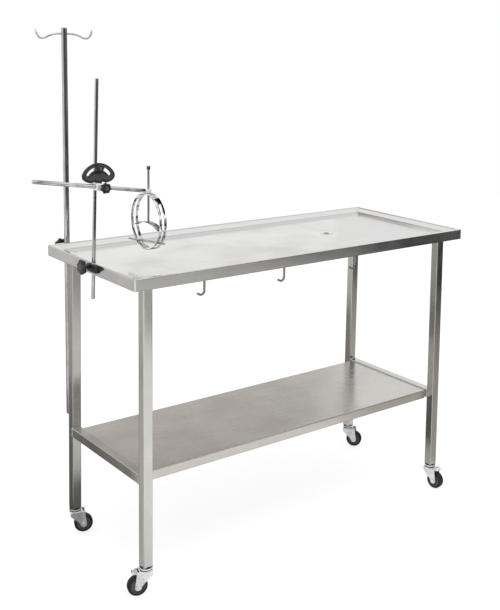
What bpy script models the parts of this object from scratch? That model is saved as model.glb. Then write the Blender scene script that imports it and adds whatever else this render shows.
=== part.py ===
"""Animal dissection table on casters, with an infusion pole and a head holder.

Metres, +Z up. X runs along the table, the head holder is at the -X end, and -Y is the front.
"""

import math

import bmesh
import bpy
from mathutils import Vector

# Fits
GAP = 0.0003
SHEET = 0.0015

# Table top
TOP_LENGTH = 1.090
TOP_WIDTH = 0.456
TOP_HEIGHT = 0.800
SKIRT_HEIGHT = 0.0285
CORNER_RADIUS = 0.006
RIM_WIDTH = 0.012
RIM_EDGE = 0.0025
WALL_RUN = 0.009
WALL_FOOT = 0.004
PAN_DEPTH = 0.014
DRAIN_X = 0.2165
DISH_RADIUS = 0.032
DISH_FLAT_RADIUS = 0.022
DISH_DEPTH = 0.003
DRAIN_TUBE_RADIUS = 0.0105
DRAIN_BORE_RADIUS = 0.0085
DRAIN_FLANGE_RADIUS = 0.018
DRAIN_TUBE_DROP = 0.030
CORNER_STEPS = 4

# Legs, rails and shelf
LEG_SIZE = 0.025
TUBE_EDGE = 0.002
LEG_INSET_X = 0.037
LEG_INSET_Y = 0.026
LEG_BOTTOM = 0.072
LEG_LEANS = {"front_right": -0.009, "rear_left": 0.007}
SHELF_TOP = 0.301
RAIL_PROUD = 0.003
SHELF_SETBACK = 0.059
SHELF_FLANGE = 0.0245
SHELF_EDGE = 0.002

# Tie hooks
HOOK_RADIUS = 0.003
HOOK_TAB_WIDTH = 0.012
HOOK_TAB_THICKNESS = 0.0024
HOOK_TAB_HEIGHT = 0.013
HOOK_TAB_TOP = 0.011
HOOK_DROP = 0.037
HOOK_BEND = 0.009
HOOK_TIP = 0.008
HOOK_TURN = math.radians(118)
HOOK_FIRST_X = -0.354
HOOK_PITCH = 0.242
HOOK_COUNT = 3

# Clamp blocks and star knobs
BLOCK_LENGTH = 0.040
BLOCK_THICKNESS = 0.024
BLOCK_HEIGHT = 0.022
BLOCK_EDGE = 0.002
POLE_BLOCK_DROP = 0.016
KNOB_LOBES = 7
KNOB_LOBE_STEPS = 4
KNOB_LOBE_DEPTH = 0.14
KNOB_ROUND = 0.12
SCREW_RADIUS = 0.003
POLE_KNOB_RADIUS = 0.019
POLE_KNOB_HEAD = 0.014
POLE_KNOB_NECK_RADIUS = 0.006
POLE_KNOB_NECK = 0.016
ROD_KNOB_DROP = 0.009
ROD_KNOB_RADIUS = 0.019
ROD_KNOB_HEAD = 0.0115
ROD_KNOB_NECK_RADIUS = 0.0105
ROD_KNOB_NECK = 0.0115
ROD_PLATE_THICKNESS = 0.006
ROD_PLATE_REAR = 0.0110
ROD_PLATE_FRONT = 0.0450
ROD_PLATE_UP = 0.0070
ROD_PLATE_DOWN = 0.0125

# Infusion pole
POLE_RADIUS = 0.0075
POLE_WALL = 0.0012
POLE_INSET_X = 0.0605
POLE_BELOW = 0.4784
POLE_ABOVE = 0.562
POLE_CAP = 0.003
HOOK_ROD_RADIUS = 0.0025
HOOK_ROD_DROP = 0.016
HOOK_ROD_SHAPE = (
    (0.000, 0.000),
    (0.022, 0.000),
    (0.040, -0.004),
    (0.056, -0.012),
    (0.068, -0.011),
    (0.076, -0.001),
    (0.079, 0.013),
)

# Support rod and tilt head
ROD_RADIUS = 0.0045
ROD_INSET_X = 0.00697
ROD_Y = -0.015
ROD_BELOW = 0.092
ROD_ABOVE = 0.445
ROD_LEAN = math.radians(1.6)
PIVOT_RISE = 0.1983
PIVOT_SIDE = -0.0033
BAR_TILT = math.radians(8.7)
BAR_DROP = 0.0098
SLEEVE_HALF_WIDTH = 0.010
SLEEVE_FRONT = 0.0171
SLEEVE_REAR = 0.009
SLEEVE_BELOW = 0.012
SLEEVE_ABOVE = 0.012
PIVOT_STUD_RADIUS = 0.004
PIVOT_LUG_RADIUS = 0.0075
PLATE_RADIUS = 0.0468
PLATE_DOME_ANGLE = math.radians(60)
PLATE_CORNER_OUT = 0.016
PLATE_CORNER_IN = 0.015
PLATE_FOOT = 0.018
PLATE_BOTTOM = -0.001
PLATE_BOTTOM_ARCH = 0.0026
PLATE_THICKNESS = 0.0055
SLOT_RADIUS = 0.0343
SLOT_WIDTH = 0.008
SLOT_HALF_ANGLE = math.radians(55)
ARM_LEAN = math.radians(-1.7)
ARM_WIDTH = 0.010
ARM_THICKNESS = 0.003
TILT_KNOB_RADIUS = 0.0105
TILT_KNOB_HEAD = 0.009
TILT_KNOB_NECK_RADIUS = 0.005
TILT_KNOB_NECK = 0.002
BAR_BLOCK_HALF_X = 0.013
BAR_BLOCK_HALF_Z = 0.009
BAR_BLOCK_DEPTH = 0.016
BAR_KNOB_RADIUS = 0.0135
BAR_KNOB_HEAD = 0.011
BAR_KNOB_NECK_RADIUS = 0.005
BAR_KNOB_NECK = 0.005
BAR_KNOB_X = 0.0060
BAR_RADIUS = 0.005
BAR_BACK = 0.1713
BAR_FRONT = 0.1330
SPIGOT_RADIUS = 0.0025
SPIGOT_LENGTH = 0.004
SPIGOT_RELIEF = 0.0010

# Head ring
RING_RADIUS = 0.0705
RING_BAND = 0.020
RING_THICKNESS = 0.002
RING_STEPS = 72
RING_SLOT_FROM = 45
RING_SLOT_TO = 155
BOSS_BACK = 0.0100
BOSS_FRONT = 0.0055
BOSS_HALF_Y = 0.006
BOSS_LOW = 0.0045
BOSS_HIGH = 0.0055
PRESS_SCREW_TOP = 0.0623
PRESS_GRIP_RADIUS = 0.0045
PRESS_GRIP_HEIGHT = 0.009
PRESS_PLATE_DROP = 0.0765
PRESS_ARC_RADIUS = 0.125
PRESS_HALF_CHORD = 0.058
PRESS_WIDTH = 0.018
PRESS_THICKNESS = 0.002
PRESS_STEPS = 14
BITE_RADIUS = 0.0027
BITE_LENGTH = 0.176
BITE_TILT = math.radians(5)
BITE_BELOW = 0.052
BITE_SHIFT_Y = 0.0105

# Casters
WHEEL_RADIUS = 0.025
TYRE_INNER = 0.0185
TYRE_WIDTH = 0.020
TYRE_ROUND = 0.003
HUB_FACE_RADIUS = 0.009
HUB_WEB = 0.003
AXLE_RADIUS = 0.003
AXLE_HEAD_RADIUS = 0.0055
AXLE_HEAD = 0.003
TRAIL = 0.0215
FORK_WIDTH = 0.028
FORK_SHEET = 0.002
FORK_TOP = 0.0633
FORK_FRONT = 0.014
FORK_FRONT_DROP = 0.012
FORK_REAR = 0.025
FORK_EYE = 0.0085
FORK_EYE_FROM = math.radians(205)
FORK_EYE_SWEEP = math.radians(165)
STEM_CAP_RADIUS = 0.0165
STEM_CAP_EDGE = 0.0025
STEM_SLEEVE_RADIUS = 0.0105
STEM_SLEEVE_LENGTH = 0.028
KING_RADIUS = 0.004
KING_HEAD_RADIUS = 0.0065
KING_HEAD = 0.002
PEDAL_PIN_X = 0.0215
PEDAL_PIN_Z = 0.0575
PEDAL_PIN_RADIUS = 0.0018
PEDAL_LENGTH = 0.014
PEDAL_WIDTH = 0.018
PEDAL_THICKNESS = 0.0055
PEDAL_RISE = math.radians(12)

# Steps of the rounded shapes
ROUND_STEPS = 24
SMALL_STEPS = 16
TUBE_STEPS = 2
HOOK_STEPS = 6
DOME_STEPS = 20
PLATE_CORNER_STEPS = 8
PLATE_FOOT_STEPS = 8
PLATE_LUG_STEPS = 8
SLOT_STEPS = 12
SLOT_END_STEPS = 6
ARM_STEPS = 8
EYE_STEPS = 10
TURN = 2 * math.pi
ORIGIN_PLACES = 5

# Trail direction of each caster, as it stands
CASTER_HEADINGS = {"front_left": 164, "front_right": -82, "rear_left": -20, "rear_right": -52}
BRAKED = ("front_left", "front_right")

# Places that follow from the sizes above
HALF_X = TOP_LENGTH / 2
HALF_Y = TOP_WIDTH / 2
FLOOR_Z = TOP_HEIGHT - PAN_DEPTH
UNDERSIDE_Z = FLOOR_Z - SHEET
LEG_TOP = UNDERSIDE_Z - GAP
LEG_X = HALF_X - LEG_INSET_X - LEG_SIZE / 2
LEG_Y = HALF_Y - LEG_INSET_Y - LEG_SIZE / 2
RAIL_TOP = SHELF_TOP + RAIL_PROUD
ROD_X = -HALF_X + ROD_INSET_X
ROD_KNOB_Z = TOP_HEIGHT - ROD_KNOB_DROP
ROD_BOTTOM = TOP_HEIGHT - ROD_BELOW
ROD_TOP = TOP_HEIGHT + ROD_ABOVE
PIVOT_Z = TOP_HEIGHT + PIVOT_RISE
POLE_X = -HALF_X + POLE_INSET_X
POLE_Y = HALF_Y + GAP + BLOCK_THICKNESS / 2
POLE_BLOCK_Z = TOP_HEIGHT - POLE_BLOCK_DROP
POLE_BOTTOM = TOP_HEIGHT - POLE_BELOW
POLE_TOP = TOP_HEIGHT + POLE_ABOVE
ARM_BACK_Y = ROD_Y - SLEEVE_FRONT - GAP
PLATE_BACK_Y = ARM_BACK_Y - ARM_THICKNESS - GAP
BAR_BLOCK_BACK_Y = PLATE_BACK_Y - PLATE_THICKNESS - GAP
BAR_Y = BAR_BLOCK_BACK_Y - BAR_BLOCK_DEPTH / 2
RING_DROP = BOSS_LOW + GAP + RING_RADIUS
RING_SLOT_WIDTH = 2 * (BITE_RADIUS + GAP)

STEEL = ("brushed_steel", (0.62, 0.61, 0.58), 0.32, 1.0)
CHROME = ("chrome", (0.74, 0.74, 0.74), 0.12, 1.0)
BLACK = ("black_plastic", (0.02, 0.02, 0.02), 0.45, 0.0)
RUBBER = ("black_rubber", (0.03, 0.03, 0.03), 0.6, 0.0)
HUB = ("grey_plastic", (0.10, 0.10, 0.10), 0.5, 0.0)


def clear_scene():
    for item in list(bpy.data.objects):
        bpy.data.objects.remove(item)


def collection(name):
    made = bpy.data.collections.new(name)
    bpy.context.scene.collection.children.link(made)
    return made


clear_scene()
PARTS = collection("animal_dissection_table")
CUTTERS = collection("cutters")


def material(name, finish):
    _, colour, roughness, metallic = finish
    made = bpy.data.materials.new(name)
    made.use_nodes = True
    shader = made.node_tree.nodes["Principled BSDF"]
    shader.inputs["Base Color"].default_value = (*colour, 1.0)
    shader.inputs["Roughness"].default_value = roughness
    shader.inputs["Metallic"].default_value = metallic
    made.diffuse_color = (*colour, 1.0)
    return made


def place(mesh, name, finish=None, at=(0, 0, 0), turn=None, parent=None, smooth=False):
    """Makes the object of a mesh. Without a finish it is a cutter."""
    made = bpy.data.objects.new(name, mesh)
    made.location = at
    if turn is not None:
        made.rotation_euler = turn
    made.parent = parent
    if finish is None:
        CUTTERS.objects.link(made)
        made.hide_render = True
        made.display_type = "WIRE"
    else:
        PARTS.objects.link(made)
        mesh.materials.append(material(name, finish))
    mesh.polygons.foreach_set("use_smooth", [smooth] * len(mesh.polygons))
    return made


def axis_empty(name, at, turn=(0, 0, 0), parent=None):
    made = bpy.data.objects.new(name, None)
    made.location = at
    made.rotation_euler = turn
    made.parent = parent
    made.empty_display_size = 2 * LEG_SIZE
    PARTS.objects.link(made)
    return made


def finish_mesh(work, name):
    bmesh.ops.recalc_face_normals(work, faces=work.faces)
    mesh = bpy.data.meshes.new(name)
    work.to_mesh(mesh)
    work.free()
    return mesh


def loft(name, loops, closed=False):
    """Joins loops of equal length. The ends are capped, or joined to each other if closed."""
    work = bmesh.new()
    rows = [[work.verts.new(p) for p in loop] for loop in loops]
    count = len(rows[0])
    pairs = list(zip(rows, rows[1:]))
    if closed:
        pairs.append((rows[-1], rows[0]))
    else:
        work.faces.new(rows[0])
        work.faces.new(rows[-1])
    for a, b in pairs:
        for i in range(count):
            j = (i + 1) % count
            work.faces.new((a[i], a[j], b[j], b[i]))
    return finish_mesh(work, name)


def circle(radius, z, steps=ROUND_STEPS, centre=(0, 0), phase=0.0):
    turns = [phase + TURN * i / steps for i in range(steps)]
    return [Vector((centre[0] + radius * math.cos(t), centre[1] + radius * math.sin(t), z)) for t in turns]


def revolve(name, profile, steps=ROUND_STEPS, closed=False):
    """Turns (radius, height) points round Z."""
    return loft(name, [circle(r, z, steps) for r, z in profile], closed)


def rounded_rect(half_x, half_y, radius, z, steps=CORNER_STEPS):
    points = []
    for corner in range(4):
        start = corner * math.pi / 2
        sx = 1 if corner in (0, 3) else -1
        sy = 1 if corner in (0, 1) else -1
        for i in range(steps + 1):
            t = start + math.pi / 2 * i / steps
            x = sx * (half_x - radius) + radius * math.cos(t)
            y = sy * (half_y - radius) + radius * math.sin(t)
            points.append(Vector((x, y, z)))
    return points


def prism(name, outline, depth):
    """Extrudes an (x, z) outline along +Y, from 0 to depth."""
    near = [Vector((x, 0.0, z)) for x, z in outline]
    far = [Vector((x, depth, z)) for x, z in outline]
    return loft(name, [near, far])


def box(name, low, high, edge=0.0):
    low, high = Vector(low), Vector(high)
    work = bmesh.new()
    bmesh.ops.create_cube(work, size=1.0)
    middle, size = (low + high) / 2, high - low
    for v in work.verts:
        v.co = Vector((v.co.x * size.x, v.co.y * size.y, v.co.z * size.z)) + middle
    if edge:
        bmesh.ops.bevel(work, geom=list(work.edges), offset=edge, segments=2, profile=0.5, affect="EDGES")
    return finish_mesh(work, name)


def square_tube(name, size, wall, length, edge, lean=0.0):
    """A square tube along Z, from 0 to length. Its top is moved along X by the lean."""
    half = size / 2
    outer_radius = edge
    inner_radius = edge - wall / 2
    loops = [
        rounded_rect(half, half, outer_radius, 0.0, TUBE_STEPS),
        rounded_rect(half, half, outer_radius, length, TUBE_STEPS),
        rounded_rect(half - wall, half - wall, inner_radius, length, TUBE_STEPS),
        rounded_rect(half - wall, half - wall, inner_radius, 0.0, TUBE_STEPS),
    ]
    for loop in loops[1:3]:
        for point in loop:
            point.x += lean
    return loft(name, loops, closed=True)


def sweep(name, path, sections):
    """Carries an oval along a path. A section is its half sizes, across and along the normal, and a shift."""
    path = [Vector(p) for p in path]
    loops = []
    normal = Vector((0, 1, 0))
    for i, point in enumerate(path):
        before, after = path[max(i - 1, 0)], path[min(i + 1, len(path) - 1)]
        along = (after - before).normalized()
        side = along.cross(normal).normalized()
        across, deep, shift = sections[i]
        ring = []
        for k in range(SMALL_STEPS // 2):
            t = TURN * (k + 0.5) / (SMALL_STEPS // 2)
            ring.append(point + side * (across * math.cos(t)) + normal * (deep * math.sin(t) + shift))
        loops.append(ring)
    return loft(name, loops)


def cut(target, cutter):
    made = target.modifiers.new("cut", "BOOLEAN")
    made.operation = "DIFFERENCE"
    made.solver = "EXACT"
    made.object = cutter


def drill(target, name, radius, start, end, parent=None):
    """Cuts a round hole from start to end, in the target's parent frame."""
    start, end = Vector(start), Vector(end)
    along = end - start
    mesh = revolve(name, [(radius, 0.0), (radius, along.length)])
    made = place(mesh, name, at=start, parent=parent)
    made.rotation_euler = along.to_track_quat("Z", "Y").to_euler()
    cut(target, made)


def offset_profile(points, distance):
    """Moves an open (inset, depth) profile to its right-hand side by a sheet's thickness."""
    moved = []
    for i, (x, z) in enumerate(points):
        before, after = points[max(i - 1, 0)], points[min(i + 1, len(points) - 1)]
        a = Vector((x - before[0], z - before[1]))
        b = Vector((after[0] - x, after[1] - z))
        a = b if a.length == 0 else a
        b = a if b.length == 0 else b
        na = Vector((a.y, -a.x)).normalized()
        nb = Vector((b.y, -b.x)).normalized()
        middle = (na + nb).normalized()
        reach = distance / max(middle.dot(na), 0.5)
        moved.append((x + middle.x * reach, z + middle.y * reach))
    return moved


def build_table_top():
    """The skirt, rim and wall are one profile carried round the table. The pan falls into the drain dish."""
    wall_in = RIM_WIDTH + WALL_RUN
    profile = [
        (0.0, -SKIRT_HEIGHT),
        (0.0, -RIM_EDGE),
        (RIM_EDGE / 3, -RIM_EDGE / 3),
        (RIM_EDGE, 0.0),
        (RIM_WIDTH - RIM_EDGE, 0.0),
        (RIM_WIDTH, -RIM_EDGE / 2),
        (wall_in, -PAN_DEPTH + RIM_EDGE / 2),
        (wall_in + WALL_FOOT, -PAN_DEPTH),
    ]
    under = offset_profile(profile, SHEET)
    under[-1] = (profile[-1][0], profile[-1][1] - SHEET)

    def ring(inset, depth):
        radius = max(CORNER_RADIUS - inset, CORNER_RADIUS / 3)
        return rounded_rect(HALF_X - inset, HALF_Y - inset, radius, TOP_HEIGHT + depth)

    steps = 4 * (CORNER_STEPS + 1)
    phase = TURN / steps / 2
    hole = DRAIN_TUBE_RADIUS + GAP

    def dish(radius, z):
        return circle(radius, z, steps, (DRAIN_X, 0.0), phase)

    low = FLOOR_Z - DISH_DEPTH
    loops = [ring(*p) for p in profile]
    loops += [dish(DISH_RADIUS, FLOOR_Z), dish(DISH_FLAT_RADIUS, low), dish(hole, low)]
    loops += [dish(hole, low - SHEET), dish(DISH_FLAT_RADIUS, low - SHEET), dish(DISH_RADIUS, UNDERSIDE_Z)]
    loops += [ring(*p) for p in reversed(under)]
    top = place(loft("table_top", loops, closed=True), "table_top", STEEL)
    slip = SKIRT_HEIGHT * math.tan(ROD_LEAN)
    upper = (ROD_X + slip, ROD_Y, ROD_KNOB_Z + SKIRT_HEIGHT)
    drill(top, "rod_hole", ROD_RADIUS + GAP, (ROD_X, ROD_Y, ROD_KNOB_Z), upper)
    outside = (-HALF_X - BLOCK_THICKNESS, ROD_Y, ROD_KNOB_Z)
    drill(top, "rod_screw_hole", SCREW_RADIUS + GAP, (ROD_X, ROD_Y, ROD_KNOB_Z), outside)


def build_drain():
    seat = FLOOR_Z - DISH_DEPTH + GAP
    profile = [
        (DRAIN_BORE_RADIUS, seat),
        (DRAIN_TUBE_RADIUS + SHEET, seat + SHEET),
        (DRAIN_FLANGE_RADIUS, seat + SHEET),
        (DRAIN_FLANGE_RADIUS, seat),
        (DRAIN_TUBE_RADIUS, seat),
        (DRAIN_TUBE_RADIUS, seat - DRAIN_TUBE_DROP),
        (DRAIN_BORE_RADIUS, seat - DRAIN_TUBE_DROP),
    ]
    mesh = revolve("drain_strainer", profile, closed=True)
    place(mesh, "drain_strainer", CHROME, at=(DRAIN_X, 0, 0), smooth=False)


def corner_sign(corner):
    return (-1 if "left" in corner else 1), (-1 if "front" in corner else 1)


def build_frame():
    for corner in CASTER_HEADINGS:
        sx, sy = corner_sign(corner)
        lean = LEG_LEANS.get(corner, 0.0)
        mesh = square_tube("leg_" + corner, LEG_SIZE, SHEET, LEG_TOP - LEG_BOTTOM, TUBE_EDGE, lean)
        place(mesh, "leg_" + corner, STEEL, at=(sx * LEG_X, sy * LEG_Y, LEG_BOTTOM))
    span = 2 * LEG_Y - LEG_SIZE - 2 * GAP
    for side, sx in (("left", -1), ("right", 1)):
        mesh = square_tube("shelf_rail_" + side, LEG_SIZE, SHEET, span, TUBE_EDGE)
        at = (sx * LEG_X, span / 2, RAIL_TOP - LEG_SIZE / 2)
        place(mesh, "shelf_rail_" + side, STEEL, at=at, turn=(math.pi / 2, 0, 0))
    half_x = LEG_X - LEG_SIZE / 2 - GAP
    half_y = HALF_Y - SHELF_SETBACK
    half_edge = SHELF_EDGE / 2
    flange_z = SHELF_TOP - SHELF_FLANGE
    rows = [
        (SHEET, half_edge, SHELF_TOP - SHEET),
        (SHEET, half_edge, flange_z),
        (0.0, SHELF_EDGE, flange_z),
        (0.0, SHELF_EDGE, SHELF_TOP - half_edge),
        (half_edge, SHELF_EDGE, SHELF_TOP),
    ]
    loops = [rounded_rect(half_x - inset, half_y - inset, r, z, TUBE_STEPS) for inset, r, z in rows]
    place(loft("shelf_panel", loops), "shelf_panel", STEEL)


def build_tie_hooks():
    """A rod with a flattened top, welded flat to the inside of the skirt. Its foot turns towards -X."""
    tab_z = -HOOK_TAB_TOP
    flat = (HOOK_TAB_WIDTH / 2, HOOK_TAB_THICKNESS / 2, 0.0)
    full = (HOOK_RADIUS, HOOK_RADIUS, HOOK_RADIUS - HOOK_TAB_THICKNESS / 2)
    path = [(0, 0, tab_z), (0, 0, tab_z - HOOK_TAB_HEIGHT), (0, 0, tab_z - HOOK_TAB_HEIGHT - 2 * HOOK_RADIUS)]
    sections = [flat, flat, full]
    centre = Vector((-HOOK_BEND, 0, -SKIRT_HEIGHT - HOOK_DROP + HOOK_BEND + HOOK_RADIUS))
    for i in range(HOOK_STEPS + 1):
        t = HOOK_TURN * i / HOOK_STEPS
        path.append(centre + HOOK_BEND * Vector((math.cos(t), 0, -math.sin(t))))
        sections.append(full)
    along = Vector((-math.sin(HOOK_TURN), 0, -math.cos(HOOK_TURN)))
    path.append(Vector(path[-1]) + HOOK_TIP * along)
    sections.append(full)
    for side, sy in (("front", -1), ("rear", 1)):
        for i in range(HOOK_COUNT):
            name = "tie_hook_%s_%d" % (side, i + 1)
            turned = [(a, d, -sy * s) for a, d, s in sections]
            y = sy * (HALF_Y - SHEET - GAP - HOOK_TAB_THICKNESS / 2)
            at = (HOOK_FIRST_X + i * HOOK_PITCH, y, TOP_HEIGHT)
            place(sweep(name, path, turned), name, CHROME, at=at, smooth=True)


def star_knob(name, radius, head, neck_radius, neck, screw):
    """A star knob on a screw. Its axis is +Z, the screw's tip is at 0 and the head is at the top."""
    steps = KNOB_LOBES * KNOB_LOBE_STEPS

    def star(scale, z):
        points = []
        for i in range(steps):
            t = TURN * i / steps
            r = radius * scale * (1 - KNOB_LOBE_DEPTH * (0.5 - 0.5 * math.cos(KNOB_LOBES * t)))
            points.append(Vector((r * math.cos(t), r * math.sin(t), z)))
        return points

    base = screw + neck
    round_off = head * KNOB_ROUND
    loops = [
        circle(SCREW_RADIUS, 0.0, steps),
        circle(SCREW_RADIUS, screw, steps),
        circle(neck_radius, screw, steps),
        circle(neck_radius, base, steps),
        star(1 - KNOB_ROUND, base),
        star(1.0, base + round_off),
        star(1.0, base + head - round_off),
        star(1 - KNOB_ROUND, base + head),
    ]
    return loft(name, loops)


def build_pole_clamp():
    """A block behind the rear skirt with a bore for the pole, and a knob that clamps it."""
    half = BLOCK_THICKNESS / 2
    frame = axis_empty("pole_clamp_frame", (POLE_X, POLE_Y, POLE_BLOCK_Z), (0, 0, math.pi / 2))
    low = (-half, -BLOCK_LENGTH / 2, -BLOCK_HEIGHT / 2)
    high = (half, BLOCK_LENGTH / 2, BLOCK_HEIGHT / 2)
    made = place(box("pole_clamp", low, high, BLOCK_EDGE), "pole_clamp", BLACK, parent=frame)
    drill(made, "pole_bore", POLE_RADIUS + GAP, (0, 0, -BLOCK_HEIGHT), (0, 0, BLOCK_HEIGHT), frame)
    drill(made, "pole_screw_hole", SCREW_RADIUS + GAP, (0, 0, 0), (BLOCK_THICKNESS, 0, 0), frame)
    neck = (POLE_KNOB_NECK_RADIUS, POLE_KNOB_NECK - GAP)
    knob = star_knob("pole_clamp_knob", POLE_KNOB_RADIUS, POLE_KNOB_HEAD, *neck, half - POLE_RADIUS)
    at = (POLE_RADIUS + GAP, 0, 0)
    place(knob, "pole_clamp_knob", BLACK, at=at, turn=(0, math.pi / 2, 0), parent=frame)


def build_rod_clamp():
    """A flat block on the left skirt. Its knob's screw goes through the skirt and presses on the rod."""
    frame = axis_empty("rod_clamp_frame", (-HALF_X - GAP, ROD_Y, ROD_KNOB_Z), (0, 0, math.pi))
    low = (0, -ROD_PLATE_REAR, -ROD_PLATE_DOWN)
    high = (ROD_PLATE_THICKNESS, ROD_PLATE_FRONT, ROD_PLATE_UP)
    made = place(box("rod_clamp", low, high, BLOCK_EDGE), "rod_clamp", BLACK, parent=frame)
    reach = 2 * ROD_PLATE_THICKNESS
    drill(made, "rod_plate_hole", SCREW_RADIUS + GAP, (-reach, 0, 0), (reach, 0, 0), frame)
    tip = -ROD_INSET_X + ROD_RADIUS / math.cos(ROD_LEAN)
    screw = ROD_PLATE_THICKNESS - tip
    neck = (ROD_KNOB_NECK_RADIUS, ROD_KNOB_NECK)
    knob = star_knob("rod_clamp_knob", ROD_KNOB_RADIUS, ROD_KNOB_HEAD, *neck, screw)
    at = (tip + GAP, 0, 0)
    place(knob, "rod_clamp_knob", BLACK, at=at, turn=(0, math.pi / 2, 0), parent=frame)


def build_infusion_pole():
    build_pole_clamp()
    inner = POLE_RADIUS - POLE_WALL
    length = POLE_TOP - POLE_BOTTOM
    profile = [
        (inner, length - POLE_CAP),
        (inner, 0.0),
        (POLE_RADIUS, 0.0),
        (POLE_RADIUS, length - POLE_WALL),
        (inner, length),
    ]
    foot = (POLE_X, POLE_Y, POLE_BOTTOM)
    pole = place(revolve("iv_pole", profile), "iv_pole", CHROME, at=foot, smooth=True)
    rod_z = POLE_TOP - HOOK_ROD_DROP
    reach = 2 * POLE_RADIUS
    start = (POLE_X - reach, POLE_Y, rod_z)
    drill(pole, "iv_hook_hole", HOOK_ROD_RADIUS + GAP, start, (POLE_X + reach, POLE_Y, rod_z))
    right = [(x, 0.0, z) for x, z in HOOK_ROD_SHAPE]
    left = [(-x, 0.0, z) for x, z in reversed(HOOK_ROD_SHAPE[1:])]
    path = left + right
    sections = [(HOOK_ROD_RADIUS, HOOK_ROD_RADIUS, 0.0)] * len(path)
    place(sweep("iv_hooks", path, sections), "iv_hooks", CHROME, at=(POLE_X, POLE_Y, rod_z), smooth=True)


def plate_outline():
    """An arc about the pivot over two rounded lower corners. The arched foot has a lug round the pivot."""
    points = []
    for i in range(DOME_STEPS + 1):
        t = PLATE_DOME_ANGLE * (1 - 2 * i / DOME_STEPS)
        points.append((PLATE_RADIUS * math.sin(t), PLATE_RADIUS * math.cos(t)))
    out_x, out_z = math.cos(PLATE_DOME_ANGLE), -math.sin(PLATE_DOME_ANGLE)
    end = Vector(points[0])
    pull = end + PLATE_CORNER_OUT * Vector((out_x, out_z))
    foot = Vector((PLATE_FOOT, PLATE_BOTTOM))
    lead = foot + Vector((PLATE_CORNER_IN, 0))
    corner = []
    for i in range(1, PLATE_CORNER_STEPS + 1):
        t = i / PLATE_CORNER_STEPS
        s = 1 - t
        corner.append(s**3 * end + 3 * s * s * t * pull + 3 * s * t * t * lead + t**3 * foot)
    points += [(-p.x, p.y) for p in corner]
    arch = []
    for i in range(1, PLATE_FOOT_STEPS):
        t = math.acos(PIVOT_LUG_RADIUS / PLATE_FOOT) * i / PLATE_FOOT_STEPS
        arch.append((PLATE_FOOT * math.cos(t), PLATE_BOTTOM + PLATE_BOTTOM_ARCH * math.sin(t)))
    points += [(-x, z) for x, z in arch]
    for i in range(PLATE_LUG_STEPS + 1):
        t = math.pi * i / PLATE_LUG_STEPS
        points.append((-PIVOT_LUG_RADIUS * math.cos(t), -PIVOT_LUG_RADIUS * math.sin(t)))
    points += reversed(arch)
    points += [(p.x, p.y) for p in reversed(corner)]
    return points


def slot_outline():
    """A round-ended slot along an arc about the pivot."""
    points = []
    half = SLOT_WIDTH / 2

    def polar(radius, angle):
        return radius * math.sin(angle), radius * math.cos(angle)

    for i in range(SLOT_STEPS + 1):
        points.append(polar(SLOT_RADIUS + half, SLOT_HALF_ANGLE * (1 - 2 * i / SLOT_STEPS)))
    for end, back in ((-1, 1), (1, -1)):
        cx, cz = polar(SLOT_RADIUS, end * SLOT_HALF_ANGLE)
        for i in range(1, SLOT_END_STEPS):
            t = math.pi * i / SLOT_END_STEPS
            out_x, out_z = polar(back * half * math.cos(t), end * SLOT_HALF_ANGLE)
            side_x, side_z = polar(half * math.sin(t), end * (SLOT_HALF_ANGLE + math.pi / 2))
            points.append((cx + out_x + side_x, cz + out_z + side_z))
        if end < 0:
            for i in range(SLOT_STEPS + 1):
                points.append(polar(SLOT_RADIUS - half, SLOT_HALF_ANGLE * (-1 + 2 * i / SLOT_STEPS)))
    return points


def build_support_rod():
    build_rod_clamp()
    axis = axis_empty("rod_axis", (ROD_X, ROD_Y, ROD_KNOB_Z), (0, ROD_LEAN, 0))
    chamfer = ROD_RADIUS / 5
    length = ROD_TOP - ROD_BOTTOM
    profile = [
        (ROD_RADIUS - chamfer, 0.0),
        (ROD_RADIUS, chamfer),
        (ROD_RADIUS, length - chamfer),
        (ROD_RADIUS - chamfer, length),
    ]
    mesh = revolve("support_rod", profile)
    place(mesh, "support_rod", CHROME, at=(0, 0, ROD_BOTTOM - ROD_KNOB_Z), parent=axis, smooth=True)
    build_tilt_head(axis)


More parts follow.
